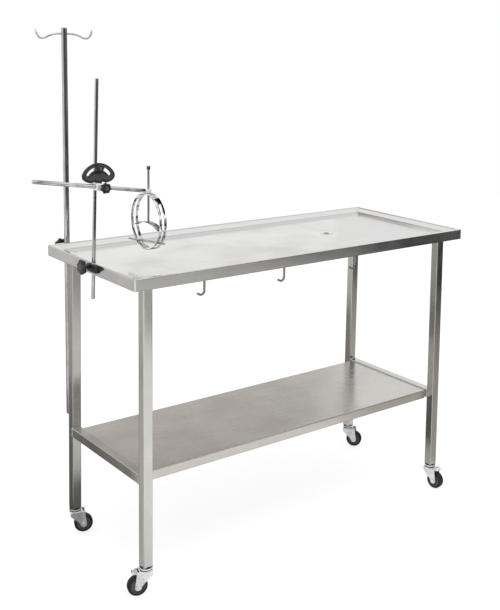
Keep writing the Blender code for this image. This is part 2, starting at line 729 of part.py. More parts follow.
def build_tilt_head(axis):
    """The sleeve and the arm stay on the rod. The arc plate, the bar clamp and the bar tilt on a stud."""
    swivel = axis_empty("swivel_axis", (0, 0, (PIVOT_Z - ROD_KNOB_Z) / math.cos(ROD_LEAN)), parent=axis)
    pivot = axis_empty("pivot", (PIVOT_SIDE, 0, 0), parent=swivel)
    low = (-SLEEVE_HALF_WIDTH, -SLEEVE_FRONT, -SLEEVE_BELOW)
    high = (SLEEVE_HALF_WIDTH, SLEEVE_REAR, SLEEVE_ABOVE)
    sleeve = place(box("tilt_sleeve", low, high, BLOCK_EDGE / 2), "tilt_sleeve", CHROME, parent=swivel)
    top = 2 * SLEEVE_ABOVE
    drill(sleeve, "sleeve_bore", ROD_RADIUS + GAP, (0, 0, -top), (0, 0, top), swivel)

    lean = axis_empty("arm_frame", (0, 0, 0), (0, ARM_LEAN, 0), pivot)
    arm_y = ARM_BACK_Y - ARM_THICKNESS - ROD_Y
    plate_y = PLATE_BACK_Y - PLATE_THICKNESS - ROD_Y
    half = ARM_WIDTH / 2
    outline = []
    for i in range(ARM_STEPS + 1):
        t = math.pi * i / ARM_STEPS
        outline.append((half * math.cos(t), SLOT_RADIUS + half * math.sin(t)))
    for i in range(ARM_STEPS + 1):
        t = math.pi + math.pi * i / ARM_STEPS
        outline.append((half * math.cos(t), half * math.sin(t)))
    arm = place(prism("tilt_arm", outline, ARM_THICKNESS), "tilt_arm", BLACK, at=(0, arm_y, 0), parent=lean)
    inside = arm_y + ARM_THICKNESS / 2
    stud = arm.modifiers.new("stud", "BOOLEAN")
    stud.operation = "UNION"
    stud.solver = "EXACT"
    stud_mesh = revolve("pivot_stud", [(PIVOT_STUD_RADIUS, 0.0), (PIVOT_STUD_RADIUS, inside - plate_y)])
    stud.object = place(stud_mesh, "pivot_stud", at=(0, inside, 0), turn=(math.pi / 2, 0, 0), parent=lean)
    ahead = (0, arm_y - ARM_THICKNESS, SLOT_RADIUS)
    behind = (0, arm_y + 2 * ARM_THICKNESS, SLOT_RADIUS)
    drill(arm, "arm_hole", SCREW_RADIUS + GAP, behind, ahead, lean)
    neck = (TILT_KNOB_NECK_RADIUS, TILT_KNOB_NECK)
    knob = star_knob("tilt_knob", TILT_KNOB_RADIUS, TILT_KNOB_HEAD, *neck, inside - plate_y + GAP)
    place(knob, "tilt_knob", BLACK, at=(0, inside, SLOT_RADIUS), turn=(math.pi / 2, 0, 0), parent=lean)

    tilt = axis_empty("tilt_axis", (0, 0, 0), (0, BAR_TILT - ROD_LEAN, 0), pivot)
    upright = axis_empty("plate_frame", (0, 0, 0), (0, ROD_LEAN - BAR_TILT, 0), tilt)
    mesh = prism("tilt_plate", plate_outline(), PLATE_THICKNESS)
    plate = place(mesh, "tilt_plate", BLACK, at=(0, plate_y, 0), parent=upright)
    slot = prism("plate_slot", slot_outline(), 3 * PLATE_THICKNESS)
    cut(plate, place(slot, "plate_slot", at=(0, plate_y - PLATE_THICKNESS, 0), parent=upright))
    behind = (0, plate_y + 2 * PLATE_THICKNESS, 0)
    ahead = (0, plate_y - PLATE_THICKNESS, 0)
    drill(plate, "stud_hole", PIVOT_STUD_RADIUS + GAP, behind, ahead, upright)

    bar_y = BAR_Y - ROD_Y
    half_y = BAR_BLOCK_DEPTH / 2
    low = (-BAR_BLOCK_HALF_X, -half_y, -BAR_BLOCK_HALF_Z)
    high = (BAR_BLOCK_HALF_X, half_y, BAR_BLOCK_HALF_Z)
    at = (0, bar_y, -BAR_DROP)
    block = place(box("bar_clamp", low, high, BLOCK_EDGE), "bar_clamp", CHROME, at=at, parent=tilt)
    reach = 2 * BAR_BLOCK_HALF_X
    drill(block, "bar_bore", BAR_RADIUS + GAP, (-reach, bar_y, -BAR_DROP), (reach, bar_y, -BAR_DROP), tilt)
    front = (BAR_KNOB_X, bar_y - BAR_BLOCK_DEPTH, -BAR_DROP)
    drill(block, "bar_screw_hole", SCREW_RADIUS + GAP, (BAR_KNOB_X, bar_y, -BAR_DROP), front, tilt)
    neck = (BAR_KNOB_NECK_RADIUS, BAR_KNOB_NECK - GAP)
    knob = star_knob("bar_knob", BAR_KNOB_RADIUS, BAR_KNOB_HEAD, *neck, half_y - BAR_RADIUS)
    at = (BAR_KNOB_X, bar_y - BAR_RADIUS - GAP, -BAR_DROP)
    place(knob, "bar_knob", BLACK, at=at, turn=(math.pi / 2, 0, 0), parent=tilt)

    shoulder = BAR_FRONT - BOSS_BACK - SPIGOT_RELIEF
    tip = BAR_FRONT - BOSS_BACK + SPIGOT_LENGTH
    chamfer = BAR_RADIUS / 5
    profile = [
        (BAR_RADIUS - chamfer, 0.0),
        (BAR_RADIUS, chamfer),
        (BAR_RADIUS, BAR_BACK + shoulder),
        (SPIGOT_RADIUS, BAR_BACK + shoulder),
        (SPIGOT_RADIUS, BAR_BACK + tip),
    ]
    at = (-BAR_BACK, bar_y, -BAR_DROP)
    mesh = revolve("cross_bar", profile)
    place(mesh, "cross_bar", CHROME, at=at, turn=(0, math.pi / 2, 0), parent=tilt, smooth=True)

    head = axis_empty("head_frame", (BAR_FRONT, bar_y, -BAR_DROP), (0, -BAR_TILT, 0), tilt)
    build_head_ring(head)


def build_head_ring(head):
    """The boss carries the bar's end and the press screw. The slotted band hangs under it, square to X."""
    low = (-BOSS_BACK, -BOSS_HALF_Y, -BOSS_LOW)
    high = (BOSS_FRONT, BOSS_HALF_Y, BOSS_HIGH)
    boss = place(box("ring_boss", low, high, BLOCK_EDGE / 2), "ring_boss", CHROME, parent=head)
    hole = SCREW_RADIUS + GAP
    drill(boss, "boss_bore", hole, (0, 0, -2 * BOSS_LOW), (0, 0, 2 * BOSS_HIGH), head)
    along = Vector((math.cos(BAR_TILT), 0, -math.sin(BAR_TILT)))
    seat = -BOSS_BACK + SPIGOT_LENGTH + GAP
    drill(boss, "spigot_hole", SPIGOT_RADIUS + GAP, along * seat, along * (-2 * BOSS_BACK), head)

    work = bmesh.new()
    edges = (-RING_BAND / 2, -RING_SLOT_WIDTH / 2, RING_SLOT_WIDTH / 2, RING_BAND / 2)
    rows = []
    for i in range(RING_STEPS):
        t = TURN * i / RING_STEPS
        y, z = RING_RADIUS * math.sin(t), RING_RADIUS * math.cos(t)
        rows.append([work.verts.new((x, y, z)) for x in edges])
    for i in range(RING_STEPS):
        a, b = rows[i], rows[(i + 1) % RING_STEPS]
        middle = 360 * (i + 0.5) / RING_STEPS
        from_top = min(middle, 360 - middle)
        for k in range(3):
            if k == 1 and RING_SLOT_FROM < from_top < RING_SLOT_TO:
                continue
            work.faces.new((a[k], a[k + 1], b[k + 1], b[k]))
    mesh = finish_mesh(work, "head_ring")
    ring = place(mesh, "head_ring", CHROME, at=(0, 0, -RING_DROP), parent=head, smooth=True)
    shell = ring.modifiers.new("band", "SOLIDIFY")
    shell.thickness = RING_THICKNESS
    shell.offset = -1
    drill(ring, "ring_hole", hole, (0, 0, -2 * BOSS_LOW - RING_THICKNESS), (0, 0, 0), head)

    bottom = -PRESS_PLATE_DROP
    chamfer = SCREW_RADIUS / 4
    grip_low = PRESS_SCREW_TOP - PRESS_GRIP_HEIGHT
    profile = [
        (SCREW_RADIUS, bottom + GAP),
        (SCREW_RADIUS, grip_low),
        (PRESS_GRIP_RADIUS - chamfer, grip_low),
        (PRESS_GRIP_RADIUS, grip_low + chamfer),
        (PRESS_GRIP_RADIUS, PRESS_SCREW_TOP - chamfer),
        (PRESS_GRIP_RADIUS - chamfer, PRESS_SCREW_TOP),
    ]
    place(revolve("press_screw", profile, SMALL_STEPS), "press_screw", CHROME, parent=head, smooth=True)

    half_angle = math.asin(PRESS_HALF_CHORD / PRESS_ARC_RADIUS)
    loops = []
    for i in range(PRESS_STEPS + 1):
        t = half_angle * (2 * i / PRESS_STEPS - 1)
        loop = []
        radii = (PRESS_ARC_RADIUS, PRESS_ARC_RADIUS, PRESS_ARC_RADIUS - PRESS_THICKNESS)
        sides = (-1, 1, 1, -1)
        for r, s in zip((*radii, radii[-1]), sides):
            loop.append(Vector((s * PRESS_WIDTH / 2, r * math.sin(t), r * math.cos(t) - PRESS_ARC_RADIUS)))
        loops.append(loop)
    mesh = loft("press_plate", loops)
    place(mesh, "press_plate", CHROME, at=(0, 0, bottom), parent=head)

    half = BITE_LENGTH / 2
    chamfer = BITE_RADIUS / 3
    profile = [
        (BITE_RADIUS - chamfer, -half),
        (BITE_RADIUS, -half + chamfer),
        (BITE_RADIUS, half - chamfer),
        (BITE_RADIUS - chamfer, half),
    ]
    at = (0, BITE_SHIFT_Y, -RING_DROP - BITE_BELOW)
    turn = (math.pi / 2 - BITE_TILT, 0, 0)
    mesh = revolve("bite_bar", profile, SMALL_STEPS)
    place(mesh, "bite_bar", CHROME, at=at, turn=turn, parent=head, smooth=True)


def fork_outline():
    """The fork's cheek from the side, with +X trailing. Points run from the top front round the eye."""
    points = [(-FORK_FRONT, FORK_TOP), (-FORK_FRONT, FORK_TOP - FORK_FRONT_DROP)]
    for i in range(EYE_STEPS + 1):
        t = FORK_EYE_FROM + FORK_EYE_SWEEP * i / EYE_STEPS
        points.append((TRAIL + FORK_EYE * math.cos(t), WHEEL_RADIUS + FORK_EYE * math.sin(t)))
    points.append((FORK_REAR + PEDAL_PIN_RADIUS, PEDAL_PIN_Z - 2 * PEDAL_PIN_RADIUS))
    points.append((FORK_REAR, FORK_TOP))
    return points


def build_caster(corner, heading):
    sx, sy = corner_sign(corner)
    base = axis_empty("caster_base_" + corner, (sx * LEG_X, sy * LEG_Y, 0))
    cap_top = LEG_BOTTOM - GAP
    cap_low = FORK_TOP + GAP
    pin_low = FORK_TOP - FORK_SHEET - GAP
    profile = [
        (STEM_SLEEVE_RADIUS, cap_top + STEM_SLEEVE_LENGTH),
        (STEM_SLEEVE_RADIUS, cap_top),
        (STEM_CAP_RADIUS - STEM_CAP_EDGE, cap_top),
        (STEM_CAP_RADIUS, cap_top - STEM_CAP_EDGE),
        (STEM_CAP_RADIUS, cap_low),
        (KING_RADIUS, cap_low),
        (KING_RADIUS, pin_low),
        (KING_HEAD_RADIUS, pin_low),
        (KING_HEAD_RADIUS, pin_low - KING_HEAD),
    ]
    name = "caster_stem_" + corner
    place(revolve(name, profile), name, CHROME, parent=base, smooth=False)

    swivel = axis_empty("caster_swivel_" + corner, (0, 0, 0), (0, 0, math.radians(heading)), base)
    half = FORK_WIDTH / 2
    name = "caster_fork_" + corner
    fork = place(prism(name, fork_outline(), FORK_WIDTH), name, CHROME, at=(0, -half, 0), parent=swivel)
    inner = half - FORK_SHEET
    reach = 2 * FORK_REAR
    low = (-reach, -inner, -WHEEL_RADIUS)
    mesh = box(name + "_space", low, (reach, inner, FORK_TOP - FORK_SHEET))
    cut(fork, place(mesh, name + "_space", parent=swivel))
    low = (STEM_CAP_RADIUS, -inner, FORK_TOP - 2 * FORK_SHEET)
    mesh = box(name + "_notch", low, (reach, inner, FORK_TOP + FORK_SHEET))
    cut(fork, place(mesh, name + "_notch", parent=swivel))
    king = FORK_TOP - 2 * FORK_SHEET, FORK_TOP + FORK_SHEET
    drill(fork, name + "_king", KING_RADIUS + GAP, (0, 0, king[0]), (0, 0, king[1]), swivel)
    axle_at = (TRAIL, WHEEL_RADIUS)
    pin_at = (PEDAL_PIN_X, PEDAL_PIN_Z)
    holes = [("_axle", AXLE_RADIUS, axle_at)]
    if corner in BRAKED:
        holes.append(("_pin", PEDAL_PIN_RADIUS, pin_at))
    for label, radius, (x, z) in holes:
        drill(fork, name + label, radius + GAP, (x, -FORK_WIDTH, z), (x, FORK_WIDTH, z), swivel)

    hub_half = TYRE_WIDTH / 2
    at = (TRAIL, 0, WHEEL_RADIUS)
    across = (math.pi / 2, 0, 0)
    bore = AXLE_RADIUS + GAP
    head_in = half + GAP
    profile = [
        (AXLE_HEAD_RADIUS, -head_in - AXLE_HEAD),
        (AXLE_HEAD_RADIUS, -head_in),
        (AXLE_RADIUS, -head_in),
        (AXLE_RADIUS, head_in),
        (AXLE_HEAD_RADIUS, head_in),
        (AXLE_HEAD_RADIUS, head_in + AXLE_HEAD),
    ]
    name = "caster_axle_" + corner
    place(revolve(name, profile, SMALL_STEPS), name, CHROME, at=at, turn=across, parent=swivel)
    rim = TYRE_INNER - GAP
    web = hub_half - HUB_WEB
    profile = [
        (bore, hub_half),
        (HUB_FACE_RADIUS, hub_half),
        (HUB_FACE_RADIUS, web),
        (rim - HUB_WEB, web),
        (rim - HUB_WEB, hub_half),
        (rim, hub_half),
    ]
    profile += [(r, -h) for r, h in reversed(profile)]
    name = "wheel_hub_" + corner
    place(revolve(name, profile, closed=True), name, HUB, at=at, turn=across, parent=swivel)
    round_off = TYRE_ROUND
    profile = [
        (TYRE_INNER, hub_half),
        (WHEEL_RADIUS - round_off, hub_half),
        (WHEEL_RADIUS - round_off / 3, hub_half - round_off / 3),
        (WHEEL_RADIUS, hub_half - round_off),
    ]
    profile += [(r, -h) for r, h in reversed(profile)]
    name = "wheel_tyre_" + corner
    place(revolve(name, profile, closed=True), name, RUBBER, at=at, turn=across, parent=swivel, smooth=True)

    if corner in BRAKED:
        build_brake_pedal(corner, swivel)


def build_brake_pedal(corner, swivel):
    pin_half = FORK_WIDTH / 2 - GAP
    across = (math.pi / 2, 0, 0)
    pin = revolve("pin", [(PEDAL_PIN_RADIUS, -pin_half), (PEDAL_PIN_RADIUS, pin_half)], SMALL_STEPS)
    name = "brake_pedal_" + corner
    low = (-PEDAL_PIN_RADIUS / 2, -PEDAL_WIDTH / 2, -PEDAL_THICKNESS / 2)
    mesh = box(name, low, (PEDAL_LENGTH, PEDAL_WIDTH / 2, PEDAL_THICKNESS / 2), PEDAL_THICKNESS / 5)
    pedal_at = (PEDAL_PIN_X, 0, PEDAL_PIN_Z)
    pedal = place(mesh, name, CHROME, at=pedal_at, turn=(0, -PEDAL_RISE, 0), parent=swivel)
    joined = pedal.modifiers.new("pin", "BOOLEAN")
    joined.operation = "UNION"
    joined.solver = "EXACT"
    joined.object = place(pin, name + "_pin", at=pedal_at, turn=across, parent=swivel)


def centre_on_origin():
    """Moves the whole table so that the origin is on the floor, under the middle of its bounding box."""
    bpy.context.view_layer.update()
    graph = bpy.context.evaluated_depsgraph_get()
    points = []
    for made in PARTS.objects:
        if made.type == "MESH":
            shape = made.evaluated_get(graph)
            points += [made.matrix_world @ v.co for v in shape.to_mesh().vertices]
            shape.to_mesh_clear()
    middle_x = (min(p.x for p in points) + max(p.x for p in points)) / 2
    middle_y = (min(p.y for p in points) + max(p.y for p in points)) / 2
    shift = Vector((round(middle_x, ORIGIN_PLACES), round(middle_y, ORIGIN_PLACES), 0.0))
    for made in (*PARTS.objects, *CUTTERS.objects):
        if made.parent is None:
            made.location -= shift


build_table_top()
build_drain()
build_frame()
build_tie_hooks()
build_infusion_pole()
build_support_rod()
for place_name, angle in CASTER_HEADINGS.items():
    build_caster(place_name, angle)
centre_on_origin()
bpy.context.view_layer.update()
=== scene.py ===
"""Looks of the animal dissection table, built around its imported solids.

Metres, +Z up. X runs along the table, the head holder is at the -X end and -Y is the front.
"""

import math

import bmesh
import bpy
import numpy as np
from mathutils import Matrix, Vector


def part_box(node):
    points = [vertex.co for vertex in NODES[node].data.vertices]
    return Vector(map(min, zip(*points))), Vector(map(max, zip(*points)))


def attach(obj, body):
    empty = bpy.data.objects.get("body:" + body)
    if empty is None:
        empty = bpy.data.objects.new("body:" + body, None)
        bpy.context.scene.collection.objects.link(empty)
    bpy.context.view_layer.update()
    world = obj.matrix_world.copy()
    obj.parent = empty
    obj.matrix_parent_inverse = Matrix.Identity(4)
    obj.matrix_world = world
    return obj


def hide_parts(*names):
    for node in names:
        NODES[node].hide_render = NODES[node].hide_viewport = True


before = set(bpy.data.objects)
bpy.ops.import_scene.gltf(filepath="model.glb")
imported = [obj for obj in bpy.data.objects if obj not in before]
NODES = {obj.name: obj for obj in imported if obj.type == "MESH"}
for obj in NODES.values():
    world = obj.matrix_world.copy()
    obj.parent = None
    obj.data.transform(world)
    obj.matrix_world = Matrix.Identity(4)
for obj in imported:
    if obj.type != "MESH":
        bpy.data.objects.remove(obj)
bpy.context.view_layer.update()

TURN = 2 * math.pi

# Places below are measured from the middle of the table top. This is where the frame has it
SHIFT = sum(np.array(corner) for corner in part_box("table_top")) / 2 * (1, 1, 0)

# Sizes of the table, as the solids have them
HALF_X, HALF_Y, TOP = 0.545, 0.228, 0.800
SHEET, GAP = 0.0015, 0.0003
SKIRT, RIM, WALL_RUN, PAN_DEPTH = 0.0285, 0.012, 0.009, 0.014
DRAIN_X, DISH_EDGE, DISH_FLAT, DISH_DEPTH = 0.2165, 0.060, 0.021, 0.0004
DRAIN_OUT, DRAIN_IN, DRAIN_FLANGE, DRAIN_DROP = 0.0105, 0.0085, 0.018, 0.030
LEG, LEG_FOOT, LEG_HEAD = 0.025, 0.072, 0.7842
LEG_X, LEG_Y = 0.4955, 0.1895
LEANS = {"front_left": 0.0, "front_right": -0.009, "rear_left": 0.007, "rear_right": 0.0}
SHELF_TOP, SHELF_FLANGE, RAIL_TOP = 0.301, 0.0245, 0.304
SHELF_X, SHELF_Y = 0.4827, 0.169
HOOK_X, HOOK_PITCH = -0.354, 0.242
POLE_X, POLE_Y, POLE_LOW, POLE_HIGH, POLE_R = -0.4845, 0.2403, 0.3216, 1.362, 0.0075
POLE_CLAMP_Z = 0.784
ROD_X, ROD_Y, ROD_CLAMP_Z, ROD_LOW, ROD_HIGH, ROD_R = -0.53803, -0.015, 0.791, 0.708, 1.245, 0.0045
ROD_LEAN, BAR_TILT, ARM_LEAN = math.radians(1.6), math.radians(8.7), math.radians(-1.7)
PIVOT_Z, PIVOT_SIDE = 0.9983, -0.0033
BAR_Y, BAR_DROP, BAR_FRONT, BAR_BACK, BAR_R = -0.0495, 0.0098, 0.1330, 0.1713, 0.005
ARM_Y, PLATE_Y, PLATE_THICK, SLOT_R = -0.0339, -0.0412, 0.0055, 0.0343
RING_R, RING_BAND, RING_THICK, RING_DROP = 0.0705, 0.020, 0.002, 0.0753
PRESS_DROP, BITE_LENGTH = 0.0765, 0.176
HEADINGS = {"front_left": 164, "front_right": -82, "rear_left": -20, "rear_right": -52}
BRAKED = ("front_left", "front_right")
TRAIL, WHEEL_R, WHEEL_HALF = 0.0215, 0.025, 0.010
FORK_HALF, FORK_TOP, FORK_SHEET = 0.014, 0.0633, 0.0018


def turn(axis, angle):
    """Turning matrix about one of the three axes, right-handed."""
    c, s = math.cos(angle), math.sin(angle)
    a, b = [(1, 2), (2, 0), (0, 1)]["xyz".index(axis)]
    made = np.eye(3)
    made[a, a] = made[b, b] = c
    made[a, b], made[b, a] = -s, s
    return made


def put(points, origin=(0, 0, 0), *turns):
    """Turns points by each matrix, the last one first, and then moves them to the origin."""
    made = np.asarray(points, float)
    for matrix in reversed(turns):
        made = made @ matrix.T
    return made + np.asarray(origin, float)


def columns(*values):
    """Values side by side in a last axis, each spread to the common shape."""
    return np.stack(np.broadcast_arrays(*values), -1)


def join(*parts):
    """Rows of points, one part after the other."""
    return np.concatenate(parts)


LEAN = turn("y", ROD_LEAN)
PIVOT = np.array([ROD_X + (PIVOT_Z - ROD_CLAMP_Z) * math.tan(ROD_LEAN), ROD_Y, PIVOT_Z])
PIVOT += LEAN @ (PIVOT_SIDE, 0, 0)
TILT = turn("y", BAR_TILT)
ARM = turn("y", ROD_LEAN + ARM_LEAN)
BAR_MIDDLE = PIVOT + TILT @ (0, BAR_Y - ROD_Y, -BAR_DROP)
HEAD = BAR_MIDDLE + TILT @ (BAR_FRONT, 0, 0)
TO_X, TO_FRONT, TO_BACK = turn("y", math.pi / 2), turn("x", math.pi / 2), turn("x", -math.pi / 2)


class Value:
    """One socket of a shader. Sums, products and the like add Math nodes."""

    def __init__(self, finish, socket):
        self.finish, self.socket = finish, socket

    def __add__(self, other):
        return self.finish.maths("ADD", self, other)

    def __sub__(self, other):
        return self.finish.maths("SUBTRACT", self, other)

    def __rsub__(self, other):
        return self.finish.maths("SUBTRACT", other, self)

    def __mul__(self, other):
        return self.finish.maths("MULTIPLY", self, other)

    __radd__ = __add__
    __rmul__ = __mul__


def spelt(socket):
    """The shader's own spelling of an input."""
    return socket.replace("_", " ").title().replace("Ior", "IOR")


class Finish:
    """A material whose nodes are written as expressions."""

    def __init__(self, name, **constants):
        self.made = bpy.data.materials.new(name)
        self.made.use_nodes = True
        self.tree = self.made.node_tree
        self.shader = self.tree.nodes["Principled BSDF"]
        for socket, value in constants.items():
            self.shader.inputs[spelt(socket)].default_value = value
        self.place = self.node("TexCoord", {}, {}, "Object")

    def node(self, kind, settings, values, out=0):
        """Adds a node with its settings and the values of its inputs, and returns one of its outputs."""
        made = self.tree.nodes.new("ShaderNode" + kind)
        for key, value in settings.items():
            if key == "stops":
                ramp = made.color_ramp.elements
                while len(ramp) < len(value):
                    ramp.new(1.0)
                for stop, (at, colour) in zip(ramp, value):
                    stop.position, stop.color = at, (*colour, 1.0)
            else:
                setattr(made, key, value)
        for key, value in values.items():
            if isinstance(value, Value):
                self.tree.links.new(value.socket, made.inputs[key])
            else:
                made.inputs[key].default_value = value
        return Value(self, made.outputs[out])

    def maths(self, operation, first, second=0.0):
        """One Math node."""
        return self.node("Math", {"operation": operation}, {0: first, 1: second})

    def axis(self, name, place=None):
        """One coordinate of the object's own place, or of another."""
        return self.node("SeparateXYZ", {}, {0: self.place if place is None else place}, name)

    def edge(self):
        """Distance in from the table's outline: the smaller of what is left along X and along Y."""
        place = self.node("VectorMath", {"operation": "SUBTRACT"}, {0: self.place, 1: tuple(SHIFT)})
        x, y = [self.axis(name, place) for name in "XY"]
        return self.maths("MINIMUM", HALF_X - self.maths("ABSOLUTE", x), HALF_Y - self.maths("ABSOLUTE", y))

    def noise(self, size, detail, rough=0.55, stretch=(1, 1, 1)):
        """Noise from 0 to 1 in the object's own metres. Size is the grain of one wave."""
        scale = tuple(s / size for s in stretch)
        place = self.node("Mapping", {}, {"Vector": self.place, "Scale": scale})
        wanted = {"Vector": place, "Scale": 1.0, "Detail": detail, "Roughness": rough}
        return self.node("TexNoise", {}, wanted)

    def cells(self, size, out="Distance"):
        """Cells of a size in metres: the distance from the nearest centre, or a colour for each cell."""
        place = self.node("Mapping", {}, {"Vector": self.place, "Scale": (1 / size,) * 3})
        return self.node("TexVoronoi", {}, {"Vector": place, "Scale": 1.0}, out)

    def span(self, value, low, high, to_low=0.0, to_high=1.0):
        """Maps low..high to to_low..to_high and holds it there outside."""
        wanted = {0: value, 1: low, 2: high, 3: to_low, 4: to_high}
        return self.node("MapRange", {"clamp": True}, wanted)

    def ramp(self, value, stops):
        """A colour by value, from stops of position and colour."""
        return self.node("ValToRGB", {"stops": stops}, {0: value})

    def blend(self, factor, first, second):
        """Runs from the first colour to the second as the factor goes from 0 to 1."""
        first, second = [v if isinstance(v, Value) else (*v, 1.0) for v in (first, second)]
        return self.node("Mix", {"data_type": "RGBA"}, {0: factor, 6: first, 7: second}, 2)

    def bump(self, height, strength):
        """The normal, tilted by the slope of a height in metres."""
        return self.node("Bump", {}, {"Height": height, "Distance": 1.0, "Strength": strength})

    def feed(self, **sockets):
        """Links values to the shader's inputs and returns the material."""
        for socket, value in sockets.items():
            self.tree.links.new(value.socket, self.shader.inputs[spelt(socket)])
        return self.made


def grey(tone):
    """A colour without a tint."""
    return (tone, tone, tone)


def lying(grain, squeeze):
    """The stretch of a noise whose waves lie along one axis, or along none."""
    return tuple(squeeze if axis == grain else 1.0 for axis in "xyz")


def brushed_steel(name, grain, light, dark, rough, warm, folds=(), foot=None):
    """Satin sheet or tube. Long fine streaks lie along the grain, over soft handling marks.

    Each fold is a distance in from the table's edge where a line of painted shade runs along a bend, and the
    half width of its line. Foot is the height of a hanging edge, which gets a line of painted shade too.
    """
    f = Finish(name, metallic=1.0)
    stretch = lying(grain, 0.004)
    streak = f.noise(0.0008, 2.0, stretch=stretch)
    broad = f.noise(0.004, 2.0, stretch=stretch)
    cloud = f.noise(0.16, 4.0)
    tone = f.span(streak * 0.35 + broad * 0.2 + cloud * 0.6, 0.33, 0.85)
    steel = f.ramp(tone, [(0.0, dark), (1.0, light)])
    tint = tuple(c * k for c, k in zip(light, (1.0, 0.975, 0.93)))
    stain = f.span(f.noise(0.05, 5.0, 0.62), 0.5, 0.75, 0.0, warm)
    colour = f.blend(stain, steel, tint)
    grime_and_shade = tuple(c * 0.35 for c in dark)
    # Painted shade: dark lines along the bends of the sheet and along the foot of a hanging edge.
    for inset, half in folds:
        line = f.span(f.maths("ABSOLUTE", f.edge() - inset), 0.0, half, 0.62, 0.0)
        colour = f.blend(line * f.span(cloud, 0.3, 0.6, 0.55, 1.0), colour, grime_and_shade)
    if foot is not None:
        line = f.span(f.axis("Z") - foot, 0.0004, 0.0022, 0.6, 0.0)
        colour = f.blend(line * f.span(cloud, 0.3, 0.6, 0.5, 1.0), colour, grime_and_shade)
    worn = f.span(streak, 0.3, 0.7, -0.05, 0.05)
    smear = f.span(cloud, 0.35, 0.7, rough - 0.05, rough + 0.07)
    wave = f.noise(0.11, 1.0)
    height = streak * 0.000012 + wave * 0.0003
    return f.feed(base_color=colour, roughness=worn + smear, normal=f.bump(height, 0.5))


def bright_metal(name, light, dark, rough, grain=None, line=0.0009, haze_and_reflection=(0.03, 0.35, 0.7)):
    """Polished or plated rod. Draw lines, as wide as given, mark it, and a cloudy noise varies its gloss and
    paints dark and light patches of reflection into its colour.

    The haze_and_reflection setting gives the size of these patches and the values between which the painted
    reflection runs from dark to light.
    """
    f = Finish(name, metallic=1.0)
    hair = f.noise(line, 2.0, stretch=lying(grain, 0.02))
    size, low, high = haze_and_reflection
    haze_and_reflection = f.noise(size, 4.0, 0.6)
    pit = f.span(f.cells(0.0035), 0.0, 0.12, 1.0, 0.0)
    # Painted reflection: the draw lines and the cloudy noise run the colour between dark and light.
    colour = f.ramp(f.span(hair * 0.4 + haze_and_reflection * 0.6, low, high), [(0.0, dark), (1.0, light)])
    dull = f.span(haze_and_reflection, 0.35, 0.75, rough, rough + 0.08)
    height = hair * 0.000006 - pit * 0.00001
    return f.feed(base_color=colour, roughness=dull + pit * 0.08, normal=f.bump(height, 0.2))


def zinc_plate(name, metal):
    """Plated pressing. Small crystal patches differ a little in tone and gloss."""
    f = Finish(name, metallic=metal)
    patch = f.node("SeparateColor", {}, {0: f.cells(0.004, "Color")})
    grime_and_shade = f.noise(0.02, 5.0, 0.65)
    tone = f.span(patch * 0.25 + grime_and_shade * 0.75, 0.3, 0.62)
    colour = f.ramp(tone, [(0.0, (0.70, 0.695, 0.69)), (1.0, grey(0.96))])
    height = patch * 0.000006 + f.noise(0.0012, 2.0) * 0.00001
    rough = f.span(grime_and_shade, 0.3, 0.75, 0.12, 0.3)
    return f.feed(base_color=colour, roughness=rough, normal=f.bump(height, 0.6))


def black_moulding(name, base, shine, front=None):
    """Moulded black plastic. A fine spark grain, dust in patches and rubbed lighter spots.

    With the Y of a raised front, what lies behind it is greyer.
    """
    f = Finish(name, metallic=0.0, coat_roughness=0.3)
    spark = f.noise(0.0007, 2.0)
    dust = f.noise(0.012, 5.0, 0.65)
    rubbed = f.span(dust, 0.52, 0.8)
    colour = f.blend(rubbed, (base, base, base * 1.05), (base * 4.2, base * 4.1, base * 4.0))
    if front is not None:
        behind = f.span(f.axis("Y"), front + 0.0003, front + 0.0010)
        colour = f.blend(behind, colour, grey(base * 4))
    rough = f.span(dust, 0.3, 0.75, shine - 0.08, shine + 0.14) + f.span(spark, 0.3, 0.7, -0.05, 0.05)
    height = spark * 0.00006 + dust * 0.00005
    return f.feed(base_color=colour, roughness=rough, normal=f.bump(height, 0.7))


def tyre_rubber(name):
    """Black rubber, paler where it has rolled in dust."""
    f = Finish(name, metallic=0.0, specular_ior_level=0.25)
    dust = f.noise(0.006, 5.0, 0.68)
    grain = f.noise(0.0005, 2.0)
    colour = f.ramp(f.span(dust, 0.35, 0.8), [(0.0, (0.005, 0.005, 0.006)), (1.0, (0.036, 0.035, 0.034))])
    rough = f.span(dust, 0.3, 0.8, 0.42, 0.75)
    return f.feed(base_color=colour, roughness=rough, normal=f.bump(grain * 0.00008, 0.8))


def weld_metal(name):
    """Bright weld bead with straw and blue heat tint in drifting bands."""
    f = Finish(name, metallic=1.0)
    heat = f.noise(0.008, 4.0, 0.6)
    bright, straw = (0.72, 0.71, 0.68), (0.66, 0.6, 0.5)
    blue, clean = (0.42, 0.4, 0.42), (0.75, 0.74, 0.72)
    colour = f.ramp(heat, [(0.0, bright), (0.55, straw), (0.75, blue), (1.0, clean)])
    rough = f.span(heat, 0.3, 0.7, 0.22, 0.4)
    height = f.noise(0.0016, 3.0) * 0.0002
    return f.feed(base_color=colour, roughness=rough, normal=f.bump(height, 0.8))


